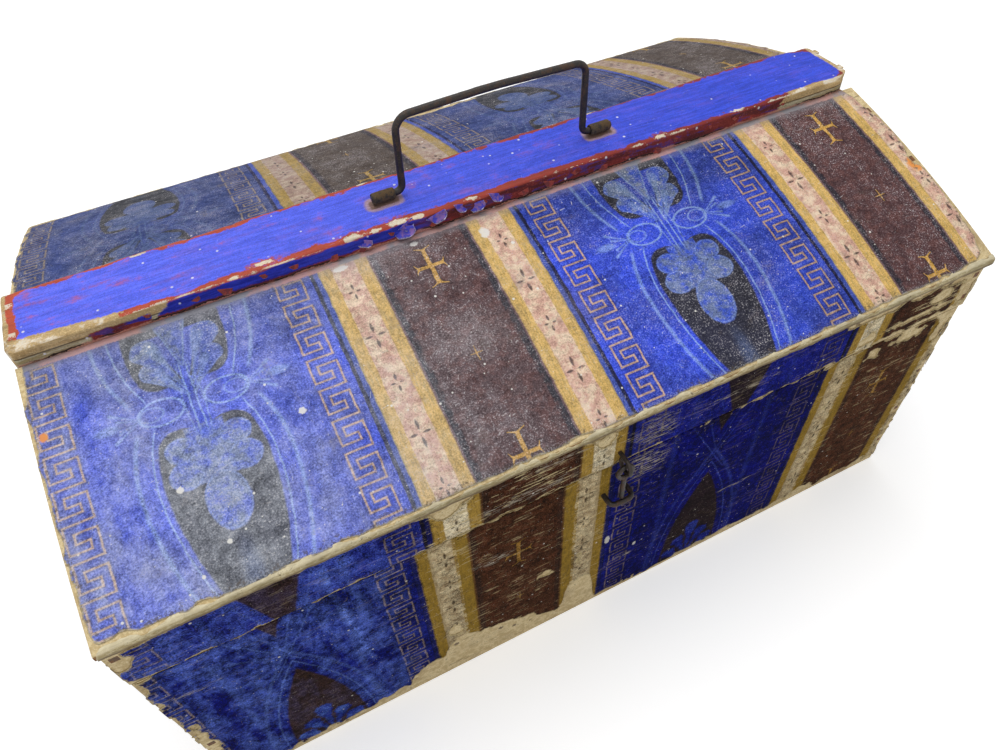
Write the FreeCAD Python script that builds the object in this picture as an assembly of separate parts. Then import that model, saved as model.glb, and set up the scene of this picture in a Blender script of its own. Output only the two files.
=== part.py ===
import FreeCAD, Part
import math
import os

os.makedirs("parts", exist_ok=True)

V = FreeCAD.Vector
X = V(1, 0, 0)
Y = V(0, 1, 0)
Z = V(0, 0, 1)

# A dowry coffret of thin boards under printed paper, closed, in millimetres.
# X runs along the length, the front faces -Y, and the underside lies on Z = 0.

# Base box
base_length = 450.0
base_depth = 276.0
base_height = 148.0
front_back_board = 7.0
end_board = 7.0
bottom_board = 6.0
paper = 0.4

# Lid, a little longer than the base
lid_over_left = 0.5
lid_over_right = 3.0
seam_gap = 0.4
rail_board = 7.0
lid_end_board = 7.0
rim_height = 35.0
eave_overhang = 2.5
eave_round = 1.6
panel_board = 4.5
panel_bow = 3.0
roof_rise = 37.6
ridge_width = 40.0
ridge_rise = 9.0
ridge_arris = 1.5
paper_margin = 1.2

# Every wire has this many sides, and its bends this step in degrees
wire_sides = 12
bend_step = 18.0

# Handle of iron wire in two rolled sleeves on the ridge board
handle_wire = 3.8
handle_span = 100.6
handle_offset = 9.5
handle_height = 41.5
handle_rise = 1.6
handle_foot_bend = 3.6
handle_corner_left = 8.0
handle_corner_right = 6.0
handle_lean_left = 1.0
handle_lean_right = 0.6
handle_grip_bend = 400.0
handle_tail_left = 16.0
handle_tail_right = 17.0
sleeve_sheet = 0.8
sleeve_play = 0.3
sleeve_length = 12.5
sleeve_gap = 0.4
sleeve_slit = 0.2
sleeve_foot = 7.0

# Latch on the front: eye in the lid, hook, staple in the base
latch_offset = 3.0
latch_eye_lift = 8.6
latch_eye_wire = 2.4
latch_eye_ring = 8.4
latch_eye_reach = 6.5
latch_eye_turn = 318.0
hook_wire = 2.6
hook_ring = 8.0
hook_over_staple = 0.4
hook_taper = 4.0
hook_tip = 1.7
staple_wire = 3.0
staple_width = 16.0
staple_reach = 8.0
staple_drop = 24.0
staple_bend = 3.2
clench = 9.0
clench_bend = 2.0

# Linked wire hinges behind the back boards
hinge_spread = 240.0
hinge_wire = 2.2
hinge_ring = 6.2
hinge_face_gap = 0.7
hinge_loop_width = 10.0
hinge_loop_height = 9.5
hinge_bend = 2.4
hinge_eye_slope = 45.0
hinge_eye_turn = 278.0

# Wrought nails with square heads
nail_head = 3.6
nail_head_thick = 0.8
nail_shank = 1.8
nail_tip = 0.6
nail_length = 20.0
corner_nail_rows = 4
bottom_long_nail_rows = 3
bottom_short_nail_rows = 2
rail_nail_rows = 2
panel_nail_rows = 3

# Derived places
half_length = base_length / 2
half_depth = base_depth / 2
lid_left = -half_length - lid_over_left
lid_right = half_length + lid_over_right
lid_length = lid_right - lid_left
lid_bottom = base_height + seam_gap
eave_top = lid_bottom + rim_height
shoulder_height = eave_top + roof_rise
ridge_half = ridge_width / 2
ridge_top = shoulder_height + ridge_rise
inner_half_depth = half_depth - front_back_board
inner_half_length = half_length - end_board


def box(x0, x1, y0, y1, z0, z1):
    return Part.makeBox(x1 - x0, y1 - y0, z1 - z0, V(x0, y0, z0))


# The bowed roof line: a circle through the eave and the shoulder of the front panel

def roof_circle():
    eave = V(0, -half_depth - eave_overhang, eave_top)
    shoulder = V(0, -ridge_half, shoulder_height)
    chord = shoulder - eave
    half_chord = chord.Length / 2
    radius = (half_chord ** 2 + panel_bow ** 2) / (2 * panel_bow)
    outward = V(0, -chord.z, chord.y) / chord.Length
    centre = (eave + shoulder) / 2 - outward * (radius - panel_bow)
    return centre, radius


roof_centre, roof_radius = roof_circle()


def roof_point(depth_below, y, x=0.0):
    """The point at y on the roof line, depth_below under the top of the panel."""
    radius = roof_radius - depth_below
    z = roof_centre.z + math.sqrt(radius ** 2 - (y - roof_centre.y) ** 2)
    return V(x, y, z)


def roof_arc(depth_below, y0, y1, x):
    middle = roof_point(depth_below, (y0 + y1) / 2, x)
    return Part.Arc(roof_point(depth_below, y0, x), middle, roof_point(depth_below, y1, x)).toShape()


def roof_layer(top_depth, bottom_depth, y0, y1, x0, x1):
    """A bowed sheet under the roof line, upright at both long edges."""
    top = roof_arc(top_depth, y0, y1, x0)
    low = roof_arc(bottom_depth, y0, y1, x0)
    outer = Part.LineSegment(roof_point(bottom_depth, y0, x0), roof_point(top_depth, y0, x0)).toShape()
    inner = Part.LineSegment(roof_point(top_depth, y1, x0), roof_point(bottom_depth, y1, x0)).toShape()
    outline = Part.Wire(Part.__sortEdges__([outer, top, inner, low]))
    return Part.Face(outline).extrude(X * (x1 - x0))


ridge_bottom = roof_point(panel_board, -ridge_half).z


def under_roof(x0, x1):
    """All that lies between the seam and the undersides of the panels and ridge board."""
    start = V(x0, -half_depth, lid_bottom)
    eave = roof_point(panel_board, -half_depth, x0)
    shoulder = roof_point(panel_board, -ridge_half, x0)
    middle = V(x0, 0, ridge_bottom)
    foot = V(x0, 0, lid_bottom)
    edges = [
        Part.LineSegment(start, eave).toShape(),
        roof_arc(panel_board, -half_depth, -ridge_half, x0),
        Part.LineSegment(shoulder, middle).toShape(),
        Part.LineSegment(middle, foot).toShape(),
        Part.LineSegment(foot, start).toShape(),
    ]
    front = Part.Face(Part.Wire(Part.__sortEdges__(edges))).extrude(X * (x1 - x0))
    return front.fuse(mirror_y(front)).removeSplitter()


def mirror_y(shape):
    return shape.mirror(V(0, 0, 0), Y)


# Wire work: a many-sided section, mitred at every step of a bend

def bent_path(points, bends):
    """A line through the points, each corner rounded with its own radius in short steps."""
    line = [points[0]]
    for i, bend in enumerate(bends):
        corner = points[i + 1]
        back = (points[i] - corner).normalize()
        ahead = (points[i + 2] - corner).normalize()
        turn = math.pi - back.getAngle(ahead)
        centre = corner + (back + ahead).normalize() * (bend / math.cos(turn / 2))
        first = corner + back * (bend * math.tan(turn / 2)) - centre
        line += [centre + spoke for spoke in fan(first, ahead.cross(back), math.degrees(turn))]
    line.append(points[-1])
    return line


def fan(spoke, axis, turn):
    """The spoke in every place that it takes in turning about the axis in even steps."""
    steps = math.ceil(turn / bend_step)
    return [FreeCAD.Rotation(axis, turn * k / steps).multVec(spoke) for k in range(steps + 1)]


def section_at(place, leg, wire):
    """The corners of the wire's section, square to the leg."""
    side = leg.cross(X if abs(leg.z) > abs(leg.x) else Z).normalize() * (wire / 2)
    return [place + FreeCAD.Rotation(leg, 360.0 * k / wire_sides).multVec(side) for k in range(wire_sides)]


def slide(corners, leg, place, normal):
    """The corners moved along the leg to the plane through place."""
    return [c + leg * ((place - c).dot(normal) / leg.dot(normal)) for c in corners]


def skin(first, second):
    """The flat faces between two sections."""
    faces = []
    for k in range(wire_sides):
        n = (k + 1) % wire_sides
        faces.append(Part.Face(Part.makePolygon([first[k], first[n], second[n], second[k], first[k]])))
    return faces


def closed_solid(faces):
    shell = Part.Shell(faces)
    shell.sewShape()
    solid = Part.Solid(shell)
    if solid.Volume < 0:
        solid.reverse()
    return solid


def rod_along(line, wire):
    """A wire along the line, its two ends cut square."""
    legs = [(b - a).normalize() for a, b in zip(line, line[1:])]
    section = section_at(line[0], legs[0], wire)
    faces = [Part.Face(Part.makePolygon(section + section[:1]))]
    for i, leg in enumerate(legs):
        ahead = legs[min(i + 1, len(legs) - 1)]
        moved = slide(section, leg, line[i + 1], leg + ahead)
        faces += skin(section, moved)
        section = moved
    faces.append(Part.Face(Part.makePolygon(section + section[:1])))
    return closed_solid(faces)


def wire_ring(centre, radius, axis, wire):
    """A closed ring of wire."""
    spokes = fan(axis.cross(X) * radius, axis, 360.0)
    line = [centre + s for s in spokes]
    legs = [(b - a).normalize() for a, b in zip(line, line[1:])]
    section = slide(section_at(line[0], legs[0], wire), legs[0], line[0], legs[-1] + legs[0])
    faces = []
    for i, leg in enumerate(legs):
        moved = slide(section, leg, line[i + 1], leg + legs[(i + 1) % len(legs)])
        faces += skin(section, moved)
        section = moved
    return closed_solid(faces)


def rod(points, bends, wire):
    return rod_along(bent_path(points, bends), wire)


def eye(centre, ring, wire, entry_angle, turn, tail_points, tail_bend):
    """A wire eye in the plane of Y and Z: its tail runs in to the ring along a
    tangent at entry_angle, and the wire goes round by turn degrees.
    tail_points are (y, z), from the clenched end to the last corner."""
    a = math.radians(entry_angle)
    spoke = V(0, math.cos(a), math.sin(a)) * (ring / 2)
    corners = [V(centre.x, y, z) for y, z in tail_points] + [centre + spoke]
    line = bent_path(corners, [tail_bend] * (len(corners) - 2))
    return rod_along(line + [centre + s for s in fan(spoke, X, turn)[1:]], wire)


# Nails

def frustum(size0, size1, z0, z1):
    """A square spike between two heights, size0 wide at z0 and size1 wide at z1."""
    def ring(size, z):
        h = size / 2
        return Part.makePolygon([V(-h, -h, z), V(h, -h, z), V(h, h, z), V(-h, h, z), V(-h, -h, z)])
    return Part.makeLoft([ring(size0, z0), ring(size1, z1)], True, True)


def nail(place, direction):
    """A nail whose head is flush at place and whose shank points along direction."""
    head = frustum(nail_head, nail_head, 0, nail_head_thick)
    shank = frustum(nail_shank, nail_tip, nail_head_thick, nail_length)
    spike = head.fuse(shank)
    spike.Placement = FreeCAD.Placement(place, FreeCAD.Rotation(Z, direction))
    return spike


def spread(low, high, count):
    """Evenly spaced values between low and high, half a step in from each."""
    step = (high - low) / count
    return [low + step * (i + 0.5) for i in range(count)]


def corner_nails():
    nails = []
    for side in (-1, 1):
        for end in (-1, 1):
            x = end * (half_length - end_board / 2)
            for z in spread(bottom_board, base_height, corner_nail_rows):
                nails.append(nail(V(x, side * half_depth, z), V(0, -side, 0)))
    return nails


def bottom_nails():
    nails = []
    for side in (-1, 1):
        y = side * (half_depth - front_back_board / 2)
        for x in spread(-half_length, half_length, bottom_long_nail_rows):
            nails.append(nail(V(x, y, 0), Z))
        x = side * (half_length - end_board / 2)
        for y in spread(-inner_half_depth, inner_half_depth, bottom_short_nail_rows):
            nails.append(nail(V(x, y, 0), Z))
    return nails


def lid_end_centres():
    return (lid_left + lid_end_board / 2, lid_right - lid_end_board / 2)


def rail_nails():
    nails = []
    rail_top = roof_point(panel_board, -half_depth).z
    for side in (-1, 1):
        for x in lid_end_centres():
            for z in spread(lid_bottom, rail_top, rail_nail_rows):
                nails.append(nail(V(x, side * half_depth, z), V(0, -side, 0)))
    return nails


def panel_nails():
    nails = []
    for x in lid_end_centres():
        for y in spread(-half_depth + rail_board, -ridge_half, panel_nail_rows):
            place = roof_point(0, y, x)
            inward = V(0, roof_centre.y - place.y, roof_centre.z - place.z).normalize()
            nails.append(nail(place, inward))
    return nails + [mirror_y(n) for n in nails]


def ridge_nails():
    nails = []
    for x in lid_end_centres():
        for y in (-ridge_half / 2, ridge_half / 2):
            nails.append(nail(V(x, y, ridge_top), -Z))
    return nails


# Handle and its sleeves

handle_axis_z = ridge_top + handle_wire / 2 + sleeve_play + sleeve_sheet
handle_left = handle_offset - handle_span / 2
handle_right = handle_offset + handle_span / 2


def handle():
    """One bent wire: grip, two legs, and two ends turned outwards on the axis."""
    low = handle_axis_z
    top = ridge_top + handle_height
    points = [
        V(handle_left - handle_tail_left, 0, low),
        V(handle_left, 0, low),
        V(handle_left + handle_lean_left, 0, top),
        V(handle_offset, 0, top + handle_rise),
        V(handle_right + handle_lean_right, 0, top),
        V(handle_right, 0, low),
        V(handle_right + handle_tail_right, 0, low),
    ]
    bends = [handle_foot_bend, handle_corner_left, handle_grip_bend, handle_corner_right, handle_foot_bend]
    return rod(points, bends, handle_wire)


def sleeve(side):
    """A strip of sheet iron rolled round the wire, its two tails let through the
    ridge board and turned out flat below it."""
    leg_x = handle_left if side < 0 else handle_right
    near = leg_x + side * (handle_foot_bend + sleeve_gap)
    x0 = min(near, near + side * sleeve_length)
    bore = handle_wire / 2 + sleeve_play
    outer = bore + sleeve_sheet
    tail = sleeve_sheet + sleeve_slit / 2
    roll = Part.makeCylinder(outer, sleeve_length, V(x0, 0, handle_axis_z), X)
    stem = box(x0, x0 + sleeve_length, -tail, tail, ridge_bottom - sleeve_sheet, handle_axis_z - bore)
    feet = box(x0, x0 + sleeve_length, -sleeve_foot, sleeve_foot, ridge_bottom - sleeve_sheet, ridge_bottom)
    slit = box(x0, x0 + sleeve_length, -sleeve_slit / 2, sleeve_slit / 2,
               ridge_bottom - 2 * sleeve_sheet, handle_axis_z - bore / 2)
    hollow = Part.makeCylinder(bore, sleeve_length, V(x0, 0, handle_axis_z), X)
    return roll.fuse([stem, feet]).cut(hollow).cut(slit).removeSplitter()


# Front latch

eye_shank_z = lid_bottom + latch_eye_lift
eye_centre_y = -half_depth - latch_eye_reach
eye_centre_z = eye_shank_z - latch_eye_ring / 2
rail_inside = -half_depth + rail_board
staple_z = base_height - staple_drop


def latch_eye():
    """Wire eye in the front rail: straight out through the rail, once round, and
    clenched upwards on the inside."""
    centre = V(latch_offset, eye_centre_y, eye_centre_z)
    inside = rail_inside + latch_eye_wire / 2
    tail = [(inside, eye_shank_z + clench), (inside, eye_shank_z)]
    return eye(centre, latch_eye_ring, latch_eye_wire, 90.0, latch_eye_turn, tail, clench_bend)


def latch_hook():
    """Wire ring that hangs in the eye, with a straight pin below it."""
    x = latch_offset
    y = eye_centre_y
    ring_z = eye_centre_z - latch_eye_ring / 2
    ring = wire_ring(V(x, y, ring_z), hook_ring / 2, Y, hook_wire)
    tip_z = staple_z + staple_wire / 2 + hook_over_staple
    full = section_at(V(x, y, ring_z - hook_ring / 2), Z, hook_wire)
    shoulder = section_at(V(x, y, tip_z + hook_taper), Z, hook_wire)
    tip = section_at(V(x, y, tip_z), Z, hook_tip)
    ends = [Part.Face(Part.makePolygon(end + end[:1])) for end in (full, tip)]
    pin = closed_solid(ends + skin(full, shoulder) + skin(shoulder, tip))
    return ring.fuse(pin).removeSplitter()


def latch_staple():
    """Wire staple: a level crown, two legs through the front board, tails turned in."""
    crown_y = -half_depth - staple_reach
    inside = -inner_half_depth + staple_wire / 2
    h = (staple_width - staple_wire) / 2
    x = latch_offset
    z = staple_z
    reach = h - staple_wire
    points = [V(x - h + reach, inside, z), V(x - h, inside, z), V(x - h, crown_y, z),
              V(x + h, crown_y, z), V(x + h, inside, z), V(x + h - reach, inside, z)]
    return rod(points, [clench_bend, staple_bend, staple_bend, clench_bend], staple_wire)


# Linked wire hinges

hinge_y = half_depth + paper + hinge_face_gap + (hinge_ring + hinge_wire) / 2
hinge_z = base_height + seam_gap / 2
hinge_inside = inner_half_depth - hinge_wire / 2


def hinge_eye(side):
    """Wire eye through the back board, its ring centred on the hinge line."""
    centre = V(side * hinge_spread / 2, hinge_y, hinge_z)
    slope = math.radians(hinge_eye_slope)
    entry = hinge_eye_slope - 90.0
    entry_y = hinge_y + hinge_ring / 2 * math.cos(math.radians(entry))
    entry_z = hinge_z + hinge_ring / 2 * math.sin(math.radians(entry))
    corner_z = entry_z - (entry_y - hinge_inside) * math.tan(slope)
    tail = [(hinge_inside, corner_z - clench), (hinge_inside, corner_z)]
    return eye(centre, hinge_ring, hinge_wire, entry, hinge_eye_turn, tail, clench_bend)


def hinge_loop(side):
    """Wire stirrup in the lid's back rail: its straight foot lies on the hinge
    line inside the eye, and both ends are clenched upwards inside the rail."""
    x = side * hinge_spread / 2
    h = hinge_loop_width / 2
    rail_in = half_depth - rail_board - hinge_wire / 2
    top = hinge_z + hinge_loop_height
    points = [
        V(x - h, rail_in, top + clench),
        V(x - h, rail_in, top),
        V(x - h, hinge_y, top),
        V(x - h, hinge_y, hinge_z),
        V(x + h, hinge_y, hinge_z),
        V(x + h, hinge_y, top),
        V(x + h, rail_in, top),
        V(x + h, rail_in, top + clench),
    ]
    bends = [clench_bend] + [hinge_bend] * 4 + [clench_bend]
    return rod(points, bends, hinge_wire)


# Boards of the base

def base_boards():
    walls = bottom_board
    return {
        "base_front_board": box(-half_length, half_length, -half_depth, -inner_half_depth, walls, base_height),
        "base_back_board": box(-half_length, half_length, inner_half_depth, half_depth, walls, base_height),
        "base_left_end": box(-half_length, -inner_half_length, -inner_half_depth, inner_half_depth,
                             walls, base_height),
        "base_right_end": box(inner_half_length, half_length, -inner_half_depth, inner_half_depth,
                              walls, base_height),
        "base_bottom_board": box(-half_length, half_length, -half_depth, half_depth, 0, bottom_board),
    }


def base_papers():
    low = paper_margin
    wide = half_length + paper
    return {
        "base_front_paper": box(-wide, wide, -half_depth - paper, -half_depth, low, base_height),
        "base_back_paper": box(-wide, wide, half_depth, half_depth + paper, low, base_height),
        "base_left_paper": box(-wide, -half_length, -half_depth, half_depth, low, base_height),
        "base_right_paper": box(half_length, wide, -half_depth, half_depth, low, base_height),
    }


# Boards of the lid

def lid_boards():
    body = under_roof(lid_left, lid_right)
    high = ridge_top
    front = box(lid_left, lid_right, -half_depth, -half_depth + rail_board, lid_bottom, high)
    back = box(lid_left, lid_right, half_depth - rail_board, half_depth, lid_bottom, high)
    between = half_depth - rail_board
    left = box(lid_left, lid_left + lid_end_board, -between, between, lid_bottom, high)
    right = box(lid_right - lid_end_board, lid_right, -between, between, lid_bottom, high)
    return {
        "lid_front_rail": body.common(front),
        "lid_back_rail": body.common(back),
        "lid_left_end": body.common(left),
        "lid_right_end": body.common(right),
    }


def lid_panel():
    """The thin bowed front board, its eave edge rounded by wear."""
    eave_y = -half_depth - eave_overhang
    panel = roof_layer(0, panel_board, eave_y, -ridge_half, lid_left, lid_right)
    worn = [e for e in panel.Edges
            if abs(e.BoundBox.YMax - eave_y) < 1e-4 and e.BoundBox.XLength > lid_length / 2]
    return panel.makeFillet(eave_round, worn)


def ridge_board():
    board = box(lid_left, lid_right, -ridge_half, ridge_half, ridge_bottom, ridge_top)
    top_edges = [e for e in board.Edges if e.BoundBox.ZMin > ridge_top - 1e-4]
    return board.makeChamfer(ridge_arris, top_edges)


def lid_papers():
    eave_y = -half_depth - eave_overhang + eave_round + paper_margin
    front = roof_layer(-paper, 0, eave_y, -ridge_half, lid_left, lid_right)
    rail_high = roof_point(panel_board, -half_depth - paper).z - paper_margin
    rail = box(lid_left, lid_right, -half_depth - paper, -half_depth, lid_bottom, rail_high)
    return {
        "lid_front_panel_paper": front,
        "lid_back_panel_paper": mirror_y(front),
        "lid_front_rail_paper": rail,
        "lid_back_rail_paper": mirror_y(rail),
        "lid_left_paper": under_roof(lid_left - paper, lid_left),
        "lid_right_paper": under_roof(lid_right, lid_right + paper),
    }


# Putting the pieces together, with each board and paper holed for what passes through

def assemble():
    base = base_boards()
    base.update(base_papers())
    lid = lid_boards()
    panel = lid_panel()
    lid["lid_front_panel"] = panel
    lid["lid_back_panel"] = mirror_y(panel)
    lid["ridge_board"] = ridge_board()
    lid.update(lid_papers())
    base_iron = {
        "latch_staple": [latch_staple()],
        "base_hinge_eye_left": [hinge_eye(-1)],
        "base_hinge_eye_right": [hinge_eye(1)],
        "base_corner_nails": corner_nails(),
        "base_bottom_nails": bottom_nails(),
    }
    lid_iron = {
        "handle_sleeve_left": [sleeve(-1)],
        "handle_sleeve_right": [sleeve(1)],
        "latch_eye": [latch_eye()],
        "lid_hinge_loop_left": [hinge_loop(-1)],
        "lid_hinge_loop_right": [hinge_loop(1)],
        "lid_rail_nails": rail_nails(),
        "lid_panel_nails": panel_nails(),
        "ridge_nails": ridge_nails(),
    }
    parts = {}
    for wood, iron in ((base, base_iron), (lid, lid_iron)):
        for name, shape in wood.items():
            parts[name] = pierce(shape, iron)
        for name, solids in iron.items():
            parts[name] = solids[0] if len(solids) == 1 else Part.makeCompound(solids)
    parts["handle"] = handle()
    parts["latch_hook"] = latch_hook()
    return parts


def pierce(shape, iron):
    tools = []
    for solids in iron.values():
        tools += [s for s in solids if s.BoundBox.intersect(shape.BoundBox)]
    touching = [t for t in tools if shape.common(t).Volume > 1e-6]
    return shape.cut(touching) if touching else shape


for node, solid in assemble().items():
    solid.exportStep("parts/" + node + ".step")
    print(node, "solids", len(solid.Solids), "valid", solid.isValid(), "volume", round(solid.Volume, 1))
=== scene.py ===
import math

import bmesh
import bpy
import numpy as np
from mathutils import Matrix, Vector


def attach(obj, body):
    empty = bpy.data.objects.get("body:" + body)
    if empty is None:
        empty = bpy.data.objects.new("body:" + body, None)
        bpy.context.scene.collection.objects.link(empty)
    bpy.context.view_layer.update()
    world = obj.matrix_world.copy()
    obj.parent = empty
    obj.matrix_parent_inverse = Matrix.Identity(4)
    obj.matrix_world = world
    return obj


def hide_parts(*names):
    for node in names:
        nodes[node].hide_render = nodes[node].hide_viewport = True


# A dowry coffret of thin boards under block-printed paper, with a painted ridge
# board, a wire handle, a wire latch and linked wire hinges. Lengths are in metres.

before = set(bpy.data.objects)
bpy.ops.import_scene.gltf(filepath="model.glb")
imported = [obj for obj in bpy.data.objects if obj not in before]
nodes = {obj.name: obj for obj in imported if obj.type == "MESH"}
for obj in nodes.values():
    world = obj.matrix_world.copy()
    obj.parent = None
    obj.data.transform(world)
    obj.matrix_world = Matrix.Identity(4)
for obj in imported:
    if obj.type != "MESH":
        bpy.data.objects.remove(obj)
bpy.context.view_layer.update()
MM = 0.001

# Sizes of the construction

half_length = 0.225
half_depth = 0.138
base_height = 0.148
bottom_board = 0.006
paper = 0.0004
paper_foot = 0.0012
lid_left, lid_right = -0.2255, 0.228
lid_bottom = 0.1484
rim_height = 0.035
eave_top = lid_bottom + rim_height
eave_overhang = 0.0025
panel_board = 0.0045
panel_bow = 0.003
shoulder_height = eave_top + 0.0376
ridge_half = 0.020
ridge_top = shoulder_height + 0.009
rng = np.random.default_rng(7)


# The bowed roof line: a circle through the eave and the shoulder

def roof_circle():
    eave = np.array([-half_depth - eave_overhang, eave_top])
    shoulder = np.array([-ridge_half, shoulder_height])
    chord = shoulder - eave
    length = np.hypot(*chord)
    radius = ((length / 2) ** 2 + panel_bow ** 2) / (2 * panel_bow)
    outward = np.array([-chord[1], chord[0]]) / length
    centre = (eave + shoulder) / 2 - outward * (radius - panel_bow)
    start = math.atan2(*(eave - centre)[::-1])
    end = math.atan2(*(shoulder - centre)[::-1])
    return centre, radius, start, end


roof_centre, roof_radius, eave_angle, shoulder_angle = roof_circle()
roof_run = roof_radius * (eave_angle - shoulder_angle)


def roof_height(y, below=0.0):
    """Height of the roof line over y, on either slope."""
    away = -np.abs(y) - roof_centre[0]
    return roof_centre[1] + np.sqrt((roof_radius - below) ** 2 - away ** 2)


# Smooth chance: a value between -1 and 1 that changes slowly over the sheet

def waves(u, v, size, seed, octaves=3):
    total = np.zeros(np.broadcast(u, v).shape)
    share = 1.0
    for octave in range(octaves):
        grid = np.random.default_rng(seed + octave).uniform(-1, 1, (64, 64))
        x, y = np.asarray(u) / size + 17.3, np.asarray(v) / size + 31.7
        i, j = np.floor(x).astype(int), np.floor(y).astype(int)
        fx, fy = x - i, y - j
        fx, fy = fx * fx * (3 - 2 * fx), fy * fy * (3 - 2 * fy)
        row0 = grid[i % 64, j % 64] * (1 - fx) + grid[(i + 1) % 64, j % 64] * fx
        row1 = grid[i % 64, (j + 1) % 64] * (1 - fx) + grid[(i + 1) % 64, (j + 1) % 64] * fx
        total += share * (row0 * (1 - fy) + row1 * fy)
        share *= 0.5
        size *= 0.5
    return total / 1.75


def ease(x, low, high):
    t = np.clip((np.asarray(x, float) - low) / (high - low), 0, 1)
    return t * t * (3 - 2 * t)


# Meshes

def new_piece(name, verts, faces, smooth=True):
    mesh = bpy.data.meshes.new(name)
    mesh.from_pydata([tuple(map(float, v)) for v in verts], [], faces)
    mesh.validate()
    if smooth:
        mesh.shade_smooth()
    made = bpy.data.objects.new(name, mesh)
    bpy.context.scene.collection.objects.link(made)
    return made


def finished(made, body, slot, material, *stands_for):
    made.data.materials.clear()
    made.data.materials.append(material)
    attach(made, body)
    if stands_for:
        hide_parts(*stands_for)
    return made


def store(made, name, values):
    layer = made.data.attributes.new(name, "FLOAT", "POINT")
    layer.data.foreach_set("value", np.asarray(values, np.float32))


class Sheet:
    """A glued sheet of paper on a flat or bowed board. kept(u, v) is the distance
    inside the sheet's torn outline; place(u, v, lift) puts a point in the frame."""

    def __init__(self, name, u_span, v_span, step, kept, place, lift):
        self.name, self.kept, self.place, self.lift = name, kept, place, lift
        u = np.linspace(*u_span, max(2, round((u_span[1] - u_span[0]) / step) + 1))
        v = np.linspace(*v_span, max(2, round((v_span[1] - v_span[0]) / step) + 1))
        self.grid_u, self.grid_v = np.meshgrid(u, v, indexing="ij")
        self.inside = kept(self.grid_u, self.grid_v)
        self.points, self.faces, self.numbers = [], [], {}
        for i in range(len(u) - 1):
            for j in range(len(v) - 1):
                self.cell([(i, j), (i + 1, j), (i + 1, j + 1), (i, j + 1)])

    def corner(self, a):
        if a not in self.numbers:
            self.numbers[a] = len(self.points)
            self.points.append((self.grid_u[a], self.grid_v[a]))
        return self.numbers[a]

    def crossing(self, a, b):
        key = (a, b) if a < b else (b, a)
        if key not in self.numbers:
            a, b = key
            t = self.inside[a] / (self.inside[a] - self.inside[b])
            t = min(max(t, 0.06), 0.94)
            self.numbers[key] = len(self.points)
            self.points.append((self.grid_u[a] + (self.grid_u[b] - self.grid_u[a]) * t,
                                self.grid_v[a] + (self.grid_v[b] - self.grid_v[a]) * t))
        return self.numbers[key]

    def cell(self, corners):
        level = [self.inside[c] > 0 for c in corners]
        if not any(level):
            return
        outline = []
        for k, a in enumerate(corners):
            b = corners[(k + 1) % 4]
            if level[k]:
                outline.append(self.corner(a))
            if level[k] != level[(k + 1) % 4]:
                outline.append(self.crossing(a, b))
        if len(outline) > 2:
            self.faces.append(outline)

    def make(self, flip=False):
        u, v = np.array(self.points).T
        count = len(u)
        top = self.place(u, v, self.lift(u, v))
        low = self.place(u, v, np.zeros(count))
        ways = {}
        for face in self.faces:
            for k, a in enumerate(face):
                ways[(a, face[(k + 1) % len(face)])] = True
        faces = [list(f) for f in self.faces]
        faces += [[n + count for n in reversed(f)] for f in self.faces]
        faces += [[b, a, a + count, b + count] for a, b in ways if (b, a) not in ways]
        if flip:
            faces = [f[::-1] for f in faces]
        made = new_piece(self.name, np.vstack([top, low]), faces)
        layer = made.data.uv_layers.new(name="print")
        flat = np.column_stack([u, v])
        spots = np.zeros(len(made.data.loops), np.int32)
        made.data.loops.foreach_get("vertex_index", spots)
        layer.data.foreach_set("uv", flat[spots % count].astype(np.float32).ravel())
        rim = np.clip(self.kept(u, v), 0, 0.012)
        store(made, "rim", np.concatenate([rim, np.zeros(count)]))
        return made


# Where each sheet lies

def on_front_roof(side):
    def place(u, v, lift):
        angle = eave_angle - v / roof_radius
        y = roof_centre[0] + (roof_radius + lift) * np.cos(angle)
        z = roof_centre[1] + (roof_radius + lift) * np.sin(angle)
        return np.column_stack([u, side * y, z])
    return place


def on_long_side(side):
    def place(u, v, lift):
        return np.column_stack([u, side * (half_depth + lift), v])
    return place


def on_short_side(side, wall):
    def place(u, v, lift):
        return np.column_stack([wall + side * lift, u, v])
    return place


def thickness(seed, least=0.55, swell=0.9):
    """Lift of the printed face over its board: paper, glue ridges and small blisters."""
    def lift(u, v):
        cockle = waves(u, v, 0.022, seed) * 0.5 + waves(u, v, 0.006, seed + 9) * 0.5
        return paper * (least + swell * np.clip(0.5 + 0.5 * cockle, 0, 1))
    return lift


# Torn outlines. Borders are lists of (place along the border, depth torn away),
# in millimetres, the place counted from the left end of the base.

def border(places):
    at = np.array(places, float).T
    return lambda x: np.interp(np.asarray(x), at[0] * MM, at[1] * MM)


def torn_sheet(u_span, v_span, low, high, left, right, seed, spots=(), tear=1.6):
    """kept(u, v) for a sheet with ragged borders and torn spots (u, v, half width, half height)."""
    edges = [border(b) for b in (low, high, left, right)]

    def kept(u, v):
        steps = np.tanh(9 * waves(u, v, 0.007, seed + 5))
        ragged = tear * MM * (waves(u, v, 0.009, seed, 4) + 0.7 * waves(u, v, 0.0042, seed + 3) + 0.45 * steps)
        along, up = u - u_span[0], v - v_span[0]
        inside = np.minimum(up - edges[0](along), v_span[1] - v - edges[1](along))
        inside = np.minimum(inside, along - edges[2](up))
        inside = np.minimum(inside, u_span[1] - u - edges[3](up)) + ragged
        for x, y, wide, high_half in spots:
            reach = np.hypot((along / MM - x) / wide, (up / MM - y) / high_half)
            hole = (1 - reach) * min(wide, high_half) * MM
            inside = np.minimum(inside, -hole + ragged * (0.7 + 0.16 * min(wide, high_half)))
        return inside
    return kept


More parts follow.
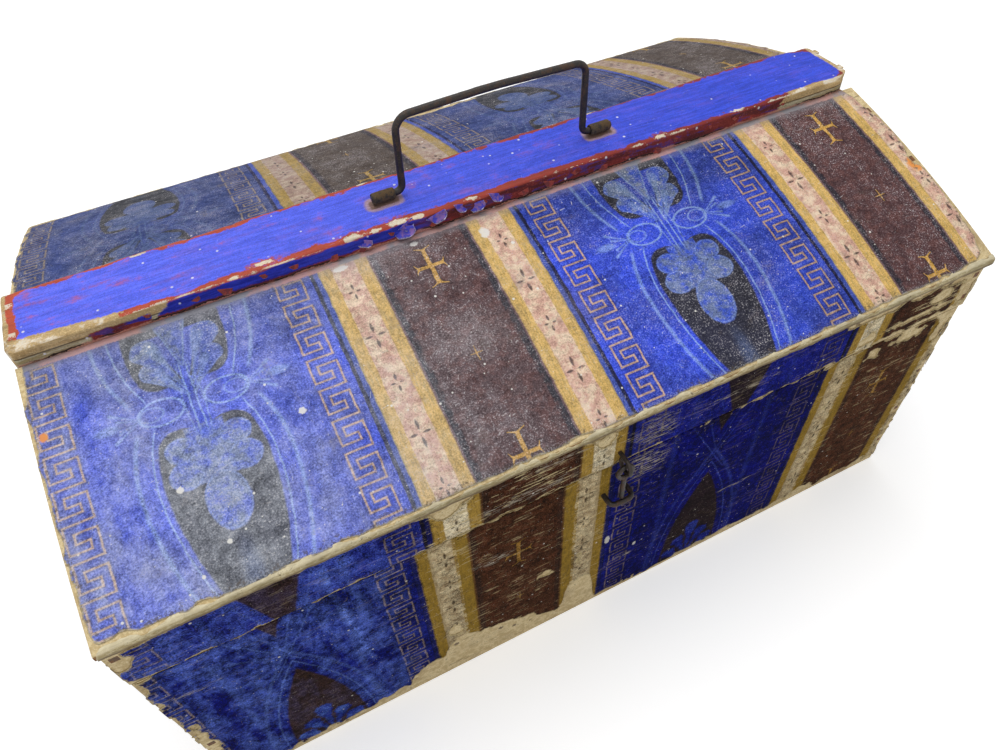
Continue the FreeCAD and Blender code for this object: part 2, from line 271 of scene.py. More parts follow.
front_face = (-half_length - paper, half_length + paper)
lid_face = (lid_left, lid_right)
base_low = [(0, 1), (30, 4), (60, 5), (100, 4), (108, 18), (112, 22), (126, 22), (130, 36), (138, 40),
            (146, 36), (150, 31), (160, 29), (172, 25), (182, 20), (196, 11), (201, 13), (204, 35),
            (213, 40), (220, 37), (224, 5), (260, 3), (330, 5), (376, 5), (381, 10), (392, 8), (398, 4),
            (450, 6)]
base_high = [(0, 0), (4, 1), (8, -1.8), (130, -1.8), (134, 1), (150, -1), (225, -1.5), (300, -1), (375, 0),
             (380, 2), (400, -0.5), (436, 1.5), (446, 4), (450, 6)]
base_spots = [(2, 60, 3, 20), (449, 100, 3, 26), (448, 40, 2.6, 12), (392, 139, 9, 3), (418, 141, 12, 3.5),
              (408, 107, 3.2, 1.5), (136, 52, 3.5, 5), (211, 62, 3, 9), (444, 133, 4, 9), (189, 66, 3, 1.4),
              (100, 5, 20, 4), (445, 60, 2.4, 5)]
lid_low = [(0, 2.5), (8, 2.5), (24, 1.2), (50, 0.3), (110, -0.2), (200, 0), (300, -0.4), (380, 0),
           (430, 0.4), (442, 2), (449, 5), (454, 9)]
lid_left_side = [(0, 3), (10, 1.5), (60, 0.6), (110, 1), (126, 3)]
lid_right_side = [(0, 9), (10, 4), (30, 1.5), (90, 1.2), (118, 4), (126, 8)]
rail_low = [(0, 4), (6, 1.5), (20, -0.6), (120, -1), (132, 0), (160, 0.5), (225, -0.6), (300, -1.2), (370, 0.2),
            (410, 1.6), (450, 3)]
rail_high = [(0, 6), (8, 3), (60, 1), (120, 0.5), (132, 4), (150, 3), (156, 1), (205, 0.5), (212, 4),
             (228, 3), (234, 1), (345, 1), (362, 3), (372, 7), (392, 5), (396, 2), (408, 5), (430, 3),
             (440, 7), (450, 10)]
rail_spots = [(3, 18, 5, 10), (140, 22, 5, 4), (221, 22, 6, 5), (428, 18, 7, 3), (447, 14, 6, 12),
              (382, 8, 5, 4), (418, 9, 12, 1.2)]
even = [(0, 1.2), (450, 1.2)]
none = [(0, -4), (450, -4)]

rail_top = float(roof_height(half_depth + paper, panel_board)) - paper_foot
base_span = (paper_foot, base_height)
rail_span = (lid_bottom, rail_top)
roof_span = (0.0015, roof_run - 0.0002)
side_span = (-half_depth, half_depth)

sheets = {
    "base_front_print": Sheet(
        "base_front_print", front_face, base_span, 0.0016,
        torn_sheet(front_face, base_span, base_low, base_high, even, even, 11, base_spots, tear=2.4),
        on_long_side(-1), thickness(21)).make(),
    "base_back_print": Sheet(
        "base_back_print", front_face, base_span, 0.0026,
        torn_sheet(front_face, base_span, [(0, 4), (90, 3), (130, 8), (160, 15), (190, 6), (330, 4), (450, 9)],
                   even, even, even, 31, [(300, 30, 14, 9), (60, 120, 8, 4), (447, 70, 4, 20)]),
        on_long_side(1), thickness(33)).make(flip=True),
    "lid_front_print": Sheet(
        "lid_front_print", lid_face, roof_span, 0.0022,
        torn_sheet(lid_face, roof_span, lid_low, none, lid_left_side, lid_right_side, 41,
                   [(452, 70, 2.4, 6)], tear=1.1),
        on_front_roof(1), thickness(43)).make(),
    "lid_back_print": Sheet(
        "lid_back_print", lid_face, roof_span, 0.0026,
        torn_sheet(lid_face, roof_span, lid_low, none, lid_left_side, lid_right_side, 51,
                   [(250, 4, 26, 5)], tear=1.3),
        on_front_roof(-1), thickness(53)).make(flip=True),
    "lid_front_rail_print": Sheet(
        "lid_front_rail_print", lid_face, rail_span, 0.0014,
        torn_sheet(lid_face, rail_span, rail_low, rail_high, even, even, 61, rail_spots),
        on_long_side(-1), thickness(63)).make(),
    "lid_back_rail_print": Sheet(
        "lid_back_rail_print", lid_face, rail_span, 0.0022,
        torn_sheet(lid_face, rail_span, even, [(0, 4), (100, 1), (240, 7), (300, 2), (450, 6)], even, even, 71,
                   [(120, 12, 10, 5), (380, 15, 14, 6)]),
        on_long_side(1), thickness(73)).make(flip=True),
}


def gable_kept(seed):
    """The lid's end sheets: under the roof line, worn back from it."""
    def kept(u, v):
        ragged = 1.4 * MM * (waves(u, v, 0.008, seed, 4) + 0.3 * waves(u, v, 0.0022, seed + 3))
        under = np.where(np.abs(u) > ridge_half, roof_height(u, panel_board),
                         float(roof_height(ridge_half, panel_board)))
        inside = np.minimum((under - v) * 0.95 - 0.0018, v - lid_bottom - 0.0008)
        return np.minimum(inside, half_depth - np.abs(u) - 0.0022) + ragged
    return kept


for side, label in ((-1, "left"), (1, "right")):
    base_wall = side * half_length
    lid_wall = lid_left if side < 0 else lid_right
    seed = 80 + 20 * side
    low_end = [(0, 8), (14, 3), (120, 4), (180, 7), (262, 3), (276, 9)]
    sheets[f"base_{label}_print"] = Sheet(
        f"base_{label}_print", side_span, base_span, 0.0026,
        torn_sheet(side_span, base_span, low_end, even, [(0, 3), (60, 1), (148, 3)],
                   [(0, 4), (80, 1), (148, 2)], seed, [(60, 8, 16, 9), (200, 140, 12, 4)]),
        on_short_side(side, base_wall), thickness(seed + 3, 0.35, 0.6)).make(flip=side < 0)
    sheets[f"lid_{label}_print"] = Sheet(
        f"lid_{label}_print", side_span, (lid_bottom, 0.2185), 0.0026, gable_kept(seed + 5),
        on_short_side(side, lid_wall), thickness(seed + 7, 0.35, 0.6)).make(flip=side < 0)


# Round wire, slightly uneven from forging and rust

def bent_line(points, bends, steps=7):
    """A line through the points, each corner rounded with its own radius."""
    points = [np.array(p, float) for p in points]
    line = [points[0]]
    for i, bend in enumerate(bends):
        corner = points[i + 1]
        back = points[i] - corner
        ahead = points[i + 2] - corner
        back, ahead = back / np.linalg.norm(back), ahead / np.linalg.norm(ahead)
        turn = math.pi - math.acos(np.clip(back @ ahead, -1, 1))
        middle = (back + ahead) / np.linalg.norm(back + ahead)
        centre = corner + middle * bend / math.cos(turn / 2)
        first = corner + back * bend * math.tan(turn / 2) - centre
        axis = Vector(np.cross(ahead, back)).normalized()
        for k in range(steps + 1):
            spoke = Matrix.Rotation(turn * k / steps, 3, axis) @ Vector(first)
            line.append(centre + np.array(spoke))
    line.append(points[-1])
    return line


def evened(line, step, closed=False):
    """The same line with points at even distances."""
    line = np.array(line + line[:1] if closed else line)
    runs = np.concatenate([[0], np.cumsum(np.linalg.norm(np.diff(line, axis=0), axis=1))])
    count = max(4, round(runs[-1] / step))
    at = np.linspace(0, runs[-1], count + 1)
    out = np.column_stack([np.interp(at, runs, line[:, k]) for k in range(3)])
    return out[:-1] if closed else out


def wire_piece(name, line, wire, seed, step=0.0009, sides=16, closed=False, taper=None):
    """A closed tube along the line. Its section stays inside the wire's size."""
    line = evened([np.array(p) for p in line], step, closed)
    count = len(line)
    if closed:
        ahead = np.roll(line, -1, axis=0) - np.roll(line, 1, axis=0)
    else:
        ahead = np.gradient(line, axis=0)
    ahead /= np.linalg.norm(ahead, axis=1)[:, None]
    side = np.cross(ahead[0], [0.31, 0.22, 0.92])
    verts = []
    run = np.arange(count) * step
    angles = np.arange(sides) * 2 * math.pi / sides
    for k in range(count):
        side = side - ahead[k] * (side @ ahead[k])
        side /= np.linalg.norm(side)
        other = np.cross(ahead[k], side)
        pits = waves(run[k] + 0.004 * np.cos(angles), 0.004 * np.sin(angles), 0.0035, seed)
        radius = wire / 2 * (0.95 + 0.045 * pits)
        if taper:
            radius = radius * (1 - taper * ease(k / count, 0.72, 1.0))
        verts += list(line[k] + radius[:, None] * (np.cos(angles)[:, None] * side
                                                   + np.sin(angles)[:, None] * other))
    faces = []
    for k in range(count if closed else count - 1):
        for n in range(sides):
            m = (n + 1) % sides
            a, b = k * sides, (k + 1) % count * sides
            faces.append([a + n, a + m, b + m, b + n])
    if not closed:
        faces += [list(range(sides))[::-1], [(count - 1) * sides + n for n in range(sides)]]
    made = new_piece(name, verts, faces)
    tidy = bmesh.new()
    tidy.from_mesh(made.data)
    bmesh.ops.recalc_face_normals(tidy, faces=tidy.faces)
    tidy.to_mesh(made.data)
    tidy.free()
    return made


def yz_eye(centre, ring, entry_deg, turn_deg, tail, tail_bend):
    """The line of a wire eye in the plane of Y and Z, with its clenched tail."""
    def on_ring(deg):
        a = math.radians(deg)
        return (centre[0], centre[1] + ring / 2 * math.cos(a), centre[2] + ring / 2 * math.sin(a))
    corners = [(centre[0], y, z) for y, z in tail] + [on_ring(entry_deg)]
    line = bent_line(corners, [tail_bend] * (len(corners) - 2))
    steps = 26
    return line + [np.array(on_ring(entry_deg + turn_deg * k / steps)) for k in range(1, steps + 1)]


handle_wire = 0.0038
sleeve_play, sleeve_sheet = 0.0003, 0.0008
handle_z = ridge_top + handle_wire / 2 + sleeve_play + sleeve_sheet
handle_left, handle_right = -0.0408, 0.0598
handle_top = ridge_top + 0.0415
handle_line = bent_line(
    [(handle_left - 0.016, 0, handle_z), (handle_left, 0, handle_z), (handle_left + 0.001, 0, handle_top),
     (0.0095, 0, handle_top + 0.0014), (handle_right + 0.0006, 0, handle_top), (handle_right, 0, handle_z),
     (handle_right + 0.017, 0, handle_z)],
    [0.0036, 0.008, 0.4, 0.006, 0.0036])

latch_x = 0.003
eye_wire, eye_ring = 0.0024, 0.0084
eye_y = -half_depth - 0.0065
eye_shank_z = lid_bottom + 0.0086
eye_z = eye_shank_z - eye_ring / 2
clench, clench_bend = 0.009, 0.002
rail_inside = -half_depth + 0.007
hook_wire, hook_ring = 0.0026, 0.008
staple_wire, staple_half = 0.003, 0.0065
staple_z = base_height - 0.024
hook_ring_z = eye_z - eye_ring / 2
hook_tip_z = staple_z + staple_wire / 2 + 0.0004
inside_front = -half_depth + 0.007 + staple_wire / 2
staple_y = -half_depth - 0.008

hinge_spread, hinge_wire, hinge_ring = 0.240, 0.0022, 0.0062
hinge_y = half_depth + paper + 0.0007 + (hinge_ring + hinge_wire) / 2
hinge_z = base_height + 0.0002
hinge_inside = half_depth - 0.007 - hinge_wire / 2


def hinge_eye_line(side):
    slope, entry = math.radians(45.0), -45.0
    entry_y = hinge_y + hinge_ring / 2 * math.cos(math.radians(entry))
    entry_z = hinge_z + hinge_ring / 2 * math.sin(math.radians(entry))
    corner_z = entry_z - (entry_y - hinge_inside) * math.tan(slope)
    tail = [(hinge_inside, corner_z - clench), (hinge_inside, corner_z)]
    return yz_eye((side * hinge_spread / 2, hinge_y, hinge_z), hinge_ring, entry, 278.0, tail, clench_bend)


def hinge_loop_line(side):
    x, h = side * hinge_spread / 2, 0.005
    top = hinge_z + 0.0095
    return bent_line(
        [(x - h, hinge_inside, top + clench), (x - h, hinge_inside, top), (x - h, hinge_y, top),
         (x - h, hinge_y, hinge_z), (x + h, hinge_y, hinge_z), (x + h, hinge_y, top),
         (x + h, hinge_inside, top), (x + h, hinge_inside, top + clench)],
        [clench_bend] + [0.0024] * 4 + [clench_bend])


wires = {
    "handle": ("handle_wire", handle_line, handle_wire, "handle"),
    "latch_eye": ("latch_eye_wire", yz_eye(
        (latch_x, eye_y, eye_z), eye_ring, 90.0, 318.0,
        [(rail_inside + eye_wire / 2, eye_shank_z + clench), (rail_inside + eye_wire / 2, eye_shank_z)],
        clench_bend), eye_wire, "lid"),
    "latch_staple": ("latch_staple_wire", bent_line(
        [(latch_x - 0.003, inside_front, staple_z), (latch_x - staple_half, inside_front, staple_z),
         (latch_x - staple_half, staple_y, staple_z), (latch_x + staple_half, staple_y, staple_z),
         (latch_x + staple_half, inside_front, staple_z), (latch_x + 0.003, inside_front, staple_z)],
        [clench_bend, 0.0032, 0.0032, clench_bend]), staple_wire, "base"),
}
for side, label in ((-1, "left"), (1, "right")):
    wires[f"base_hinge_eye_{label}"] = (f"hinge_eye_wire_{label}", hinge_eye_line(side), hinge_wire, "base")
    wires[f"lid_hinge_loop_{label}"] = (f"hinge_loop_wire_{label}", hinge_loop_line(side), hinge_wire, "lid")


def hook_line():
    """A pin with a ring turned at its head."""
    centre_z = hook_ring_z
    line = [(latch_x, eye_y, hook_tip_z), (latch_x, eye_y, centre_z - hook_ring / 2 - 0.0022)]
    for deg in range(18, 352, 9):
        a = math.radians(deg)
        line.append((latch_x + hook_ring / 2 * math.sin(a), eye_y, centre_z - hook_ring / 2 * math.cos(a)))
    return [np.array(p) for p in line]


# The ridge board: rounded, nibbled edges and a worn right end

ridge_bottom = float(roof_height(ridge_half, panel_board))


def spaced(low, high, fine, coarse, margin):
    """Places along a run, closer together near both ends."""
    near = np.arange(0, margin, fine)
    middle = np.linspace(low + margin, high - margin, max(2, round((high - low - 2 * margin) / coarse)))
    return np.concatenate([low + near, middle, (high - near)[::-1]])


def block_skin(xs, ys, zs):
    """Vertices and quads over the six faces of a block, on the given places."""
    numbers, verts, faces = {}, [], []

    def corner(i, j, k):
        if (i, j, k) not in numbers:
            numbers[(i, j, k)] = len(verts)
            verts.append((xs[i], ys[j], zs[k]))
        return numbers[(i, j, k)]

    last = (len(xs) - 1, len(ys) - 1, len(zs) - 1)
    for fixed in range(3):
        a, b = [n for n in range(3) if n != fixed]
        for end in (0, last[fixed]):
            for p in range(last[a]):
                for q in range(last[b]):
                    ring = []
                    for dp, dq in ((0, 0), (1, 0), (1, 1), (0, 1)):
                        spot = [0, 0, 0]
                        spot[fixed], spot[a], spot[b] = end, p + dp, q + dq
                        ring.append(corner(*spot))
                    outward = (end > 0) != (fixed == 1)
                    faces.append(ring if outward else ring[::-1])
    return np.array(verts), faces


def round_off(p, q, radius):
    """Square corner offsets p, q (0 to radius) drawn in to a quarter circle."""
    p, q = np.clip(p, 0, None), np.clip(q, 0, None)
    reach = np.hypot(p, q)
    share = np.where(reach > 1e-9, np.maximum(p, q) / np.maximum(reach, 1e-9), 1.0)
    return p * share, q * share


def ridge_piece():
    xs = spaced(lid_left, lid_right, 0.0008, 0.0022, 0.016)
    ys = spaced(-ridge_half, ridge_half, 0.0007, 0.0022, 0.0063)
    zs = spaced(ridge_bottom, ridge_top, 0.0007, 0.0014, 0.0049)
    verts, faces = block_skin(xs, ys, zs)
    x, y, z = verts.T.copy()
    top_edge = np.minimum(np.minimum(ridge_half - np.abs(y), x - lid_left), lid_right - x)
    edge = np.where(z > ridge_top - 1e-6, top_edge, ridge_top - z)
    side = np.sign(y)
    for end, plan in ((-1, 0.004), (1, 0.014)):
        wall = lid_left if end < 0 else lid_right
        over_x = (x - (wall - end * plan)) * end
        over_y = np.abs(y) - (ridge_half - plan)
        both = (over_x > 0) & (over_y > 0)
        px, py = round_off(over_x, over_y, plan)
        x = np.where(both, wall - end * plan + end * px, x)
        y = np.where(both, side * (ridge_half - plan + py), y)
    worn = 0.0016 + 0.0012 * (waves(x, side, 0.018, 91) + 0.6 * waves(x, side, 0.005, 95))
    worn = np.clip(worn + 0.003 * ease(x, 0.195, 0.222), 0.0007, 0.006)
    up = z - (ridge_top - worn)
    out = np.abs(y) - (ridge_half - worn)
    both = (up > 0) & (out > 0)
    py, pz = round_off(out, up, worn)
    y = np.where(both, side * (ridge_half - worn + py), y)
    z = np.where(both, ridge_top - worn + pz, z)
    for end in (-1, 1):
        wall = lid_left if end < 0 else lid_right
        out = (x - (wall - end * worn)) * end
        up = z - (ridge_top - worn)
        both = (up > 0) & (out > 0)
        px, pz = round_off(out, up, worn)
        x = np.where(both, wall - end * worn + end * px, x)
        z = np.where(both, ridge_top - worn + pz, z)
    dent = np.clip(waves(x, y, 0.007, 97, 4) - 0.28, 0, 1) * np.exp(-edge / 0.0022)
    y = y - side * 0.0022 * dent * (np.abs(y) > ridge_half - 0.006)
    z = z - 0.0016 * dent * (z > ridge_top - 0.006)
    z = z - 0.00035 * (0.5 + 0.5 * waves(x, y, 0.03, 99)) * (z > ridge_top - 0.004)
    made = new_piece("ridge_board_worn", np.column_stack([x, y, z]), faces)
    store(made, "edge", edge)
    return made


# Bare worn paper and fibre over the eaves, round the panels' lower edges

def eave_piece(name, side, seed):
    nose_low = float(roof_height(half_depth + eave_overhang, panel_board))
    start_angle = eave_angle - 0.0026 / roof_radius
    start = (0, roof_centre[0] + roof_radius * math.cos(start_angle),
             roof_centre[1] + roof_radius * math.sin(start_angle))
    nose = -half_depth - eave_overhang
    line = bent_line([start, (0, nose, eave_top), (0, nose, nose_low), (0, -half_depth - 0.0007, nose_low + 0.0006)],
                     [0.0013, 0.0013], 5)
    line = evened(line, 0.0004)
    ahead = np.gradient(line, axis=0)
    outward = np.column_stack([np.zeros(len(line)), ahead[:, 2], -ahead[:, 1]])
    outward /= np.linalg.norm(outward, axis=1)[:, None]
    run = np.arange(len(line)) * 0.0004

    def place(u, v, lift):
        spot = [np.interp(v, run, line[:, k]) for k in range(3)]
        away = [np.interp(v, run, outward[:, k]) for k in range(3)]
        return np.column_stack([u, side * (spot[1] + away[1] * lift), spot[2] + away[2] * lift])

    def lift(u, v):
        rough = waves(u, v, 0.0045, seed + 1, 3)
        return 0.00008 + 0.0005 * np.clip(0.5 + 0.7 * rough, 0, 1)

    span = (0.0, float(run[-1]))
    kept = torn_sheet(lid_face, span, [(0, 0.6), (110, 1.6), (150, 2.0), (300, 2.0), (400, 1.6), (450, 0.2)], [(0, 0.8), (450, 0.8)],
                      [(0, 0.3), (12, 0.3)], [(0, 0.3), (12, 0.3)], seed,
                      [(90, 9, 5, 1.4), (170, 10, 9, 1.5), (260, 9.5, 6, 1.2), (350, 10, 8, 1.5)], tear=1.6)
    return Sheet(name, lid_face, span, 0.0008, kept, place, lift).make(flip=side > 0)


# Sleeves rolled from sheet iron round the handle's feet

def sleeve_piece(name, side, near, seed):
    """A rolled sleeve with hammered faces, ragged ends and the seam over the ridge."""
    rings, around = 22, 40
    outer, inner = handle_wire / 2 + sleeve_play + sleeve_sheet, handle_wire / 2 + sleeve_play + 0.0001
    turn = np.linspace(-math.pi / 2 + 0.07, 1.5 * math.pi - 0.07, around)
    verts = []
    for skin, base in ((0, outer), (1, inner)):
        for k in range(rings):
            share = k / (rings - 1)
            ragged = 0.0005 * (1 + waves(turn * 0.003, np.zeros(around), 0.004, seed)) * abs(2 * share - 1) ** 6
            x = near + side * (share * 0.0125 + np.where(share > 0.5, -ragged, ragged))
            beaten = waves(turn * 0.0026, share * 0.0125, 0.003, seed + 4) * 0.5 - 0.5
            radius = base + (0.00028 * beaten if skin == 0 else 0) - (0.00025 * abs(2 * share - 1) ** 8) * (1 - skin)
            verts += list(np.column_stack([x, radius * np.cos(turn), handle_z + radius * np.sin(turn)]))
    faces = []
    size = rings * around
    for skin in range(2):
        for k in range(rings - 1):
            for n in range(around - 1):
                a = skin * size + k * around + n
                faces.append([a, a + 1, a + around + 1, a + around])
    for k in range(rings - 1):
        for n in (0, around - 1):
            a = k * around + n
            faces.append([a, a + around, a + size + around, a + size])
    for n in range(around - 1):
        for k in (0, rings - 1):
            a = k * around + n
            faces.append([a, a + 1, a + size + 1, a + size])
    made = new_piece(name, verts, faces)
    outwards(made)
    return made


def outwards(made):
    tidy = bmesh.new()
    tidy.from_mesh(made.data)
    bmesh.ops.recalc_face_normals(tidy, faces=tidy.faces)
    tidy.to_mesh(made.data)
    tidy.free()


# Scales of lifted paint, strewn along a line by Geometry Nodes

def scale_mesh(name, curl, lobes, broad, thick=0.05):
    """One scale, 1 across: a thin curled patch with a ragged outline, rooted at y = 0."""
    wide, deep = 7, 5
    top = []
    for j in range(deep):
        t = j / (deep - 1)
        for i in range(wide):
            s = i / (wide - 1) * 2 - 1
            half = 0.5 * (1 - 0.55 * t ** 2) * (1 + 0.16 * math.sin(lobes * t + s * 2))
            bend = curl * t
            reach = math.sin(bend) / curl if curl else t
            lift = (1 - math.cos(bend)) / curl
            top.append((s * half * broad, reach * (1 - 0.14 * abs(s) ** 3), lift + 0.05 * s * s))
    verts = top + [(x, y, z - thick) for x, y, z in top]
    count = wide * deep
    faces = []
    for j in range(deep - 1):
        for i in range(wide - 1):
            a = j * wide + i
            faces.append([a, a + 1, a + wide + 1, a + wide])
            faces.append([a + wide + count, a + wide + 1 + count, a + 1 + count, a + count])
    ring = [i for i in range(wide)] + [j * wide + wide - 1 for j in range(1, deep)]
    ring += [(deep - 1) * wide + i for i in range(wide - 2, -1, -1)] + [j * wide for j in range(deep - 2, 0, -1)]
    for k, a in enumerate(ring):
        b = ring[(k + 1) % len(ring)]
        faces.append([b, a, a + count, b + count])
    made = new_piece(name, verts, faces)
    spot = np.array([(abs(k % count % wide - 3) / 3, (k % count) // wide / 4) for k in range(2 * count)])
    store(made, "edge", np.minimum(1 - spot[:, 0] * 0.9, 1.02 - spot[:, 1]))
    return made


def strewn(name, shape, line, looks, count, size, spread, tilt, seed, span=(0.0, 1.0)):
    """Copies of shape strewn along the line. tilt is (lean, roll, twist) in radians: the least
    and the most of each; size is the least and the most across."""
    tree = bpy.data.node_groups.new(name + "_nodes", "GeometryNodeTree")
    tree.interface.new_socket("Geometry", in_out="OUTPUT", socket_type="NodeSocketGeometry")
    wanted = [("Line", "NodeSocketObject"), ("Shape", "NodeSocketObject"), ("Count", "NodeSocketInt"),
              ("Least size", "NodeSocketFloat"), ("Most size", "NodeSocketFloat"),
              ("Spread", "NodeSocketVector"), ("Least turn", "NodeSocketVector"),
              ("Most turn", "NodeSocketVector"), ("Seed", "NodeSocketInt")]
    ids = {label: tree.interface.new_socket(label, in_out="INPUT", socket_type=kind).identifier
           for label, kind in wanted}
    start = tree.nodes.new("NodeGroupInput")
    end = tree.nodes.new("NodeGroupOutput")

    def add(kind, links=(), **settings):
        made = tree.nodes.new(kind)
        for key, value in settings.items():
            setattr(made, key, value)
        for socket, source in links:
            tree.links.new(source, made.inputs[socket])
        return made

    way = add("GeometryNodeObjectInfo", [("Object", start.outputs["Line"])])
    part = add("GeometryNodeObjectInfo", [("Object", start.outputs["Shape"])])
    points = add("GeometryNodeCurveToPoints", [(0, way.outputs["Geometry"]), ("Count", start.outputs["Count"])],
                 mode="COUNT")
    minus = add("ShaderNodeVectorMath", [(0, start.outputs["Spread"])], operation="SCALE")
    minus.inputs["Scale"].default_value = -1.0
    shake = add("FunctionNodeRandomValue", data_type="FLOAT_VECTOR")
    tree.links.new(minus.outputs[0], shake.inputs[0])
    tree.links.new(start.outputs["Spread"], shake.inputs[1])
    tree.links.new(start.outputs["Seed"], shake.inputs["Seed"])
    moved = add("GeometryNodeSetPosition", [(0, points.outputs["Points"]), ("Offset", shake.outputs[0])])
    turn = add("FunctionNodeRandomValue", data_type="FLOAT_VECTOR")
    tree.links.new(start.outputs["Least turn"], turn.inputs[0])
    tree.links.new(start.outputs["Most turn"], turn.inputs[1])
    tree.links.new(start.outputs["Seed"], turn.inputs["Seed"])
    grown = add("FunctionNodeRandomValue", data_type="FLOAT")
    tree.links.new(start.outputs["Least size"], grown.inputs[2])
    tree.links.new(start.outputs["Most size"], grown.inputs[3])
    tree.links.new(start.outputs["Seed"], grown.inputs["Seed"])
    placed = add("GeometryNodeInstanceOnPoints", [
        ("Points", moved.outputs[0]), ("Instance", part.outputs["Geometry"]), ("Scale", grown.outputs[1])])
    tree.links.new(turn.outputs[0], placed.inputs["Rotation"])
    real = add("GeometryNodeRealizeInstances", [(0, placed.outputs[0])])
    coat = add("GeometryNodeSetMaterial", [(0, real.outputs[0])])
    coat.inputs["Material"].default_value = looks
    tree.links.new(coat.outputs[0], end.inputs[0])

    curve = bpy.data.curves.new(name + "_line", "CURVE")
    curve.dimensions = "3D"
    spline = curve.splines.new("POLY")
    spline.points.add(len(line) - 1)
    for point, place in zip(spline.points, line):
        point.co = (*place, 1)
    guide = bpy.data.objects.new(name + "_line", curve)
    holder = new_piece(name + "_holder", [(0, 0, 0), (0.001, 0, 0), (0, 0.001, 0)], [[0, 1, 2]])
    bpy.context.scene.collection.objects.link(guide)
    change = holder.modifiers.new("strew", "NODES")
    change.node_group = tree
    values = {"Line": guide, "Shape": shape, "Count": count, "Least size": size[0], "Most size": size[1],
              "Spread": spread, "Least turn": tilt[0], "Most turn": tilt[1], "Seed": seed}
    for label, value in values.items():
        change[ids[label]] = value
    bpy.context.view_layer.update()
    seen = holder.evaluated_get(bpy.context.evaluated_depsgraph_get())
    mesh = bpy.data.meshes.new_from_object(seen)
    mesh.name = name
    made = bpy.data.objects.new(name, mesh)
    bpy.context.scene.collection.objects.link(made)
    for used in (holder, guide):
        bpy.data.objects.remove(used)
    return made


# Materials are worked out with plain arithmetic: a Value is one number or colour of a
# material's nodes, and a Recipe adds the nodes.

class Value:
    def __init__(self, recipe, socket):
        self.recipe, self.socket = recipe, socket

    def __add__(self, other):
        return self.recipe.math("ADD", self, other)

    def __sub__(self, other):
        return self.recipe.math("SUBTRACT", self, other)

    def __rsub__(self, other):
        return self.recipe.math("SUBTRACT", other, self)

    __radd__ = __add__

    def __mul__(self, other):
        return self.recipe.math("MULTIPLY", self, other)

    __rmul__ = __mul__

    def __truediv__(self, other):
        return self.recipe.math("DIVIDE", self, other)

    def __abs__(self):
        return self.recipe.math("ABSOLUTE", self)

    def either(self, other):
        return self.recipe.math("MAXIMUM", self, other)

    def both(self, other):
        return self.recipe.math("MINIMUM", self, other)

    def below(self, edge, soft):
        """1 where the value is well below the edge, 0 well above it."""
        return self.recipe.step(self, edge, soft)

    def above(self, edge, soft):
        return self.recipe.step(self, edge, -soft)


class Recipe:
    def __init__(self, tree):
        self.tree = tree

    def node(self, kind, inputs=None, **settings):
        made = self.tree.nodes.new(kind)
        for key, value in settings.items():
            setattr(made, key, value)
        for key, value in (inputs or {}).items():
            self.feed(made.inputs[key], value)
        return made

    def feed(self, socket, value):
        if isinstance(value, Value):
            self.tree.links.new(value.socket, socket)
        elif isinstance(value, (tuple, list)) and socket.type == "RGBA":
            socket.default_value = ink(value)
        else:
            socket.default_value = value

    def math(self, operation, a, b=0.0, c=0.0):
        made = self.node("ShaderNodeMath", {0: a, 1: b, 2: c}, operation=operation)
        return Value(self, made.outputs[0])

    def step(self, value, edge, soft):
        ends = {"Value": value, "From Min": edge - soft, "From Max": edge + soft, "To Min": 1.0, "To Max": 0.0}
        made = self.node("ShaderNodeMapRange", ends, interpolation_type="SMOOTHSTEP", clamp=True)
        return Value(self, made.outputs[0])

    def blend(self, share, low, high, mode="MIX"):
        made = self.node("ShaderNodeMix", {0: share, 6: low, 7: high}, data_type="RGBA", blend_type=mode)
        return Value(self, made.outputs[2])

    def vector(self, operation, a, b=None, scale=None):
        inputs = {0: a}
        if b is not None:
            inputs[1] = b
        if scale is not None:
            inputs["Scale"] = scale
        made = self.node("ShaderNodeVectorMath", inputs, operation=operation)
        return Value(self, made.outputs["Value" if operation == "LENGTH" else "Vector"])

    def join(self, x, y, z=0.0):
        return Value(self, self.node("ShaderNodeCombineXYZ", {0: x, 1: y, 2: z}).outputs[0])

    def split(self, value):
        made = self.node("ShaderNodeSeparateXYZ", {0: value})
        return [Value(self, made.outputs[k]) for k in range(3)]

    def noise(self, at, size, detail=3.0, rough=0.55, warp=0.0):
        """Cloudy noise about 0.5; at is in millimetres and so is the size."""
        made = self.node("ShaderNodeTexNoise", {
            "Vector": at, "Scale": 1.0 / size, "Detail": detail, "Roughness": rough, "Distortion": warp})
        return Value(self, made.outputs[0])

    def dots(self, at, size, chance=1.0):
        """Distance to the nearest of scattered points, in sizes, and that point's own number."""
        made = self.node("ShaderNodeTexVoronoi", {"Vector": at, "Scale": 1.0 / size, "Randomness": chance})
        number = self.node("ShaderNodeSeparateColor", {0: Value(self, made.outputs["Color"])})
        return Value(self, made.outputs["Distance"]), Value(self, number.outputs[0])

    def object_mm(self):
        made = self.node("ShaderNodeTexCoord")
        return self.vector("SCALE", Value(self, made.outputs["Object"]), scale=1000.0)

    def print_mm(self):
        made = self.node("ShaderNodeUVMap", uv_map="print")
        return self.split(self.vector("SCALE", Value(self, made.outputs[0]), scale=1000.0))

    def stored(self, name):
        made = self.node("ShaderNodeAttribute", attribute_name=name, attribute_type="GEOMETRY")
        return Value(self, made.outputs["Fac"])


def ink(colour):
    """A colour written as 0 to 255 in the usual screen scale, as the nodes want it."""
    line = [c / 255 for c in colour]
    return (*[c / 12.92 if c <= 0.04045 else ((c + 0.055) / 1.055) ** 2.4 for c in line], 1.0)


def new_look(name):
    look = bpy.data.materials.new(name)
    look.use_nodes = True
    shader = look.node_tree.nodes["Principled BSDF"]
    return look, Recipe(look.node_tree), shader


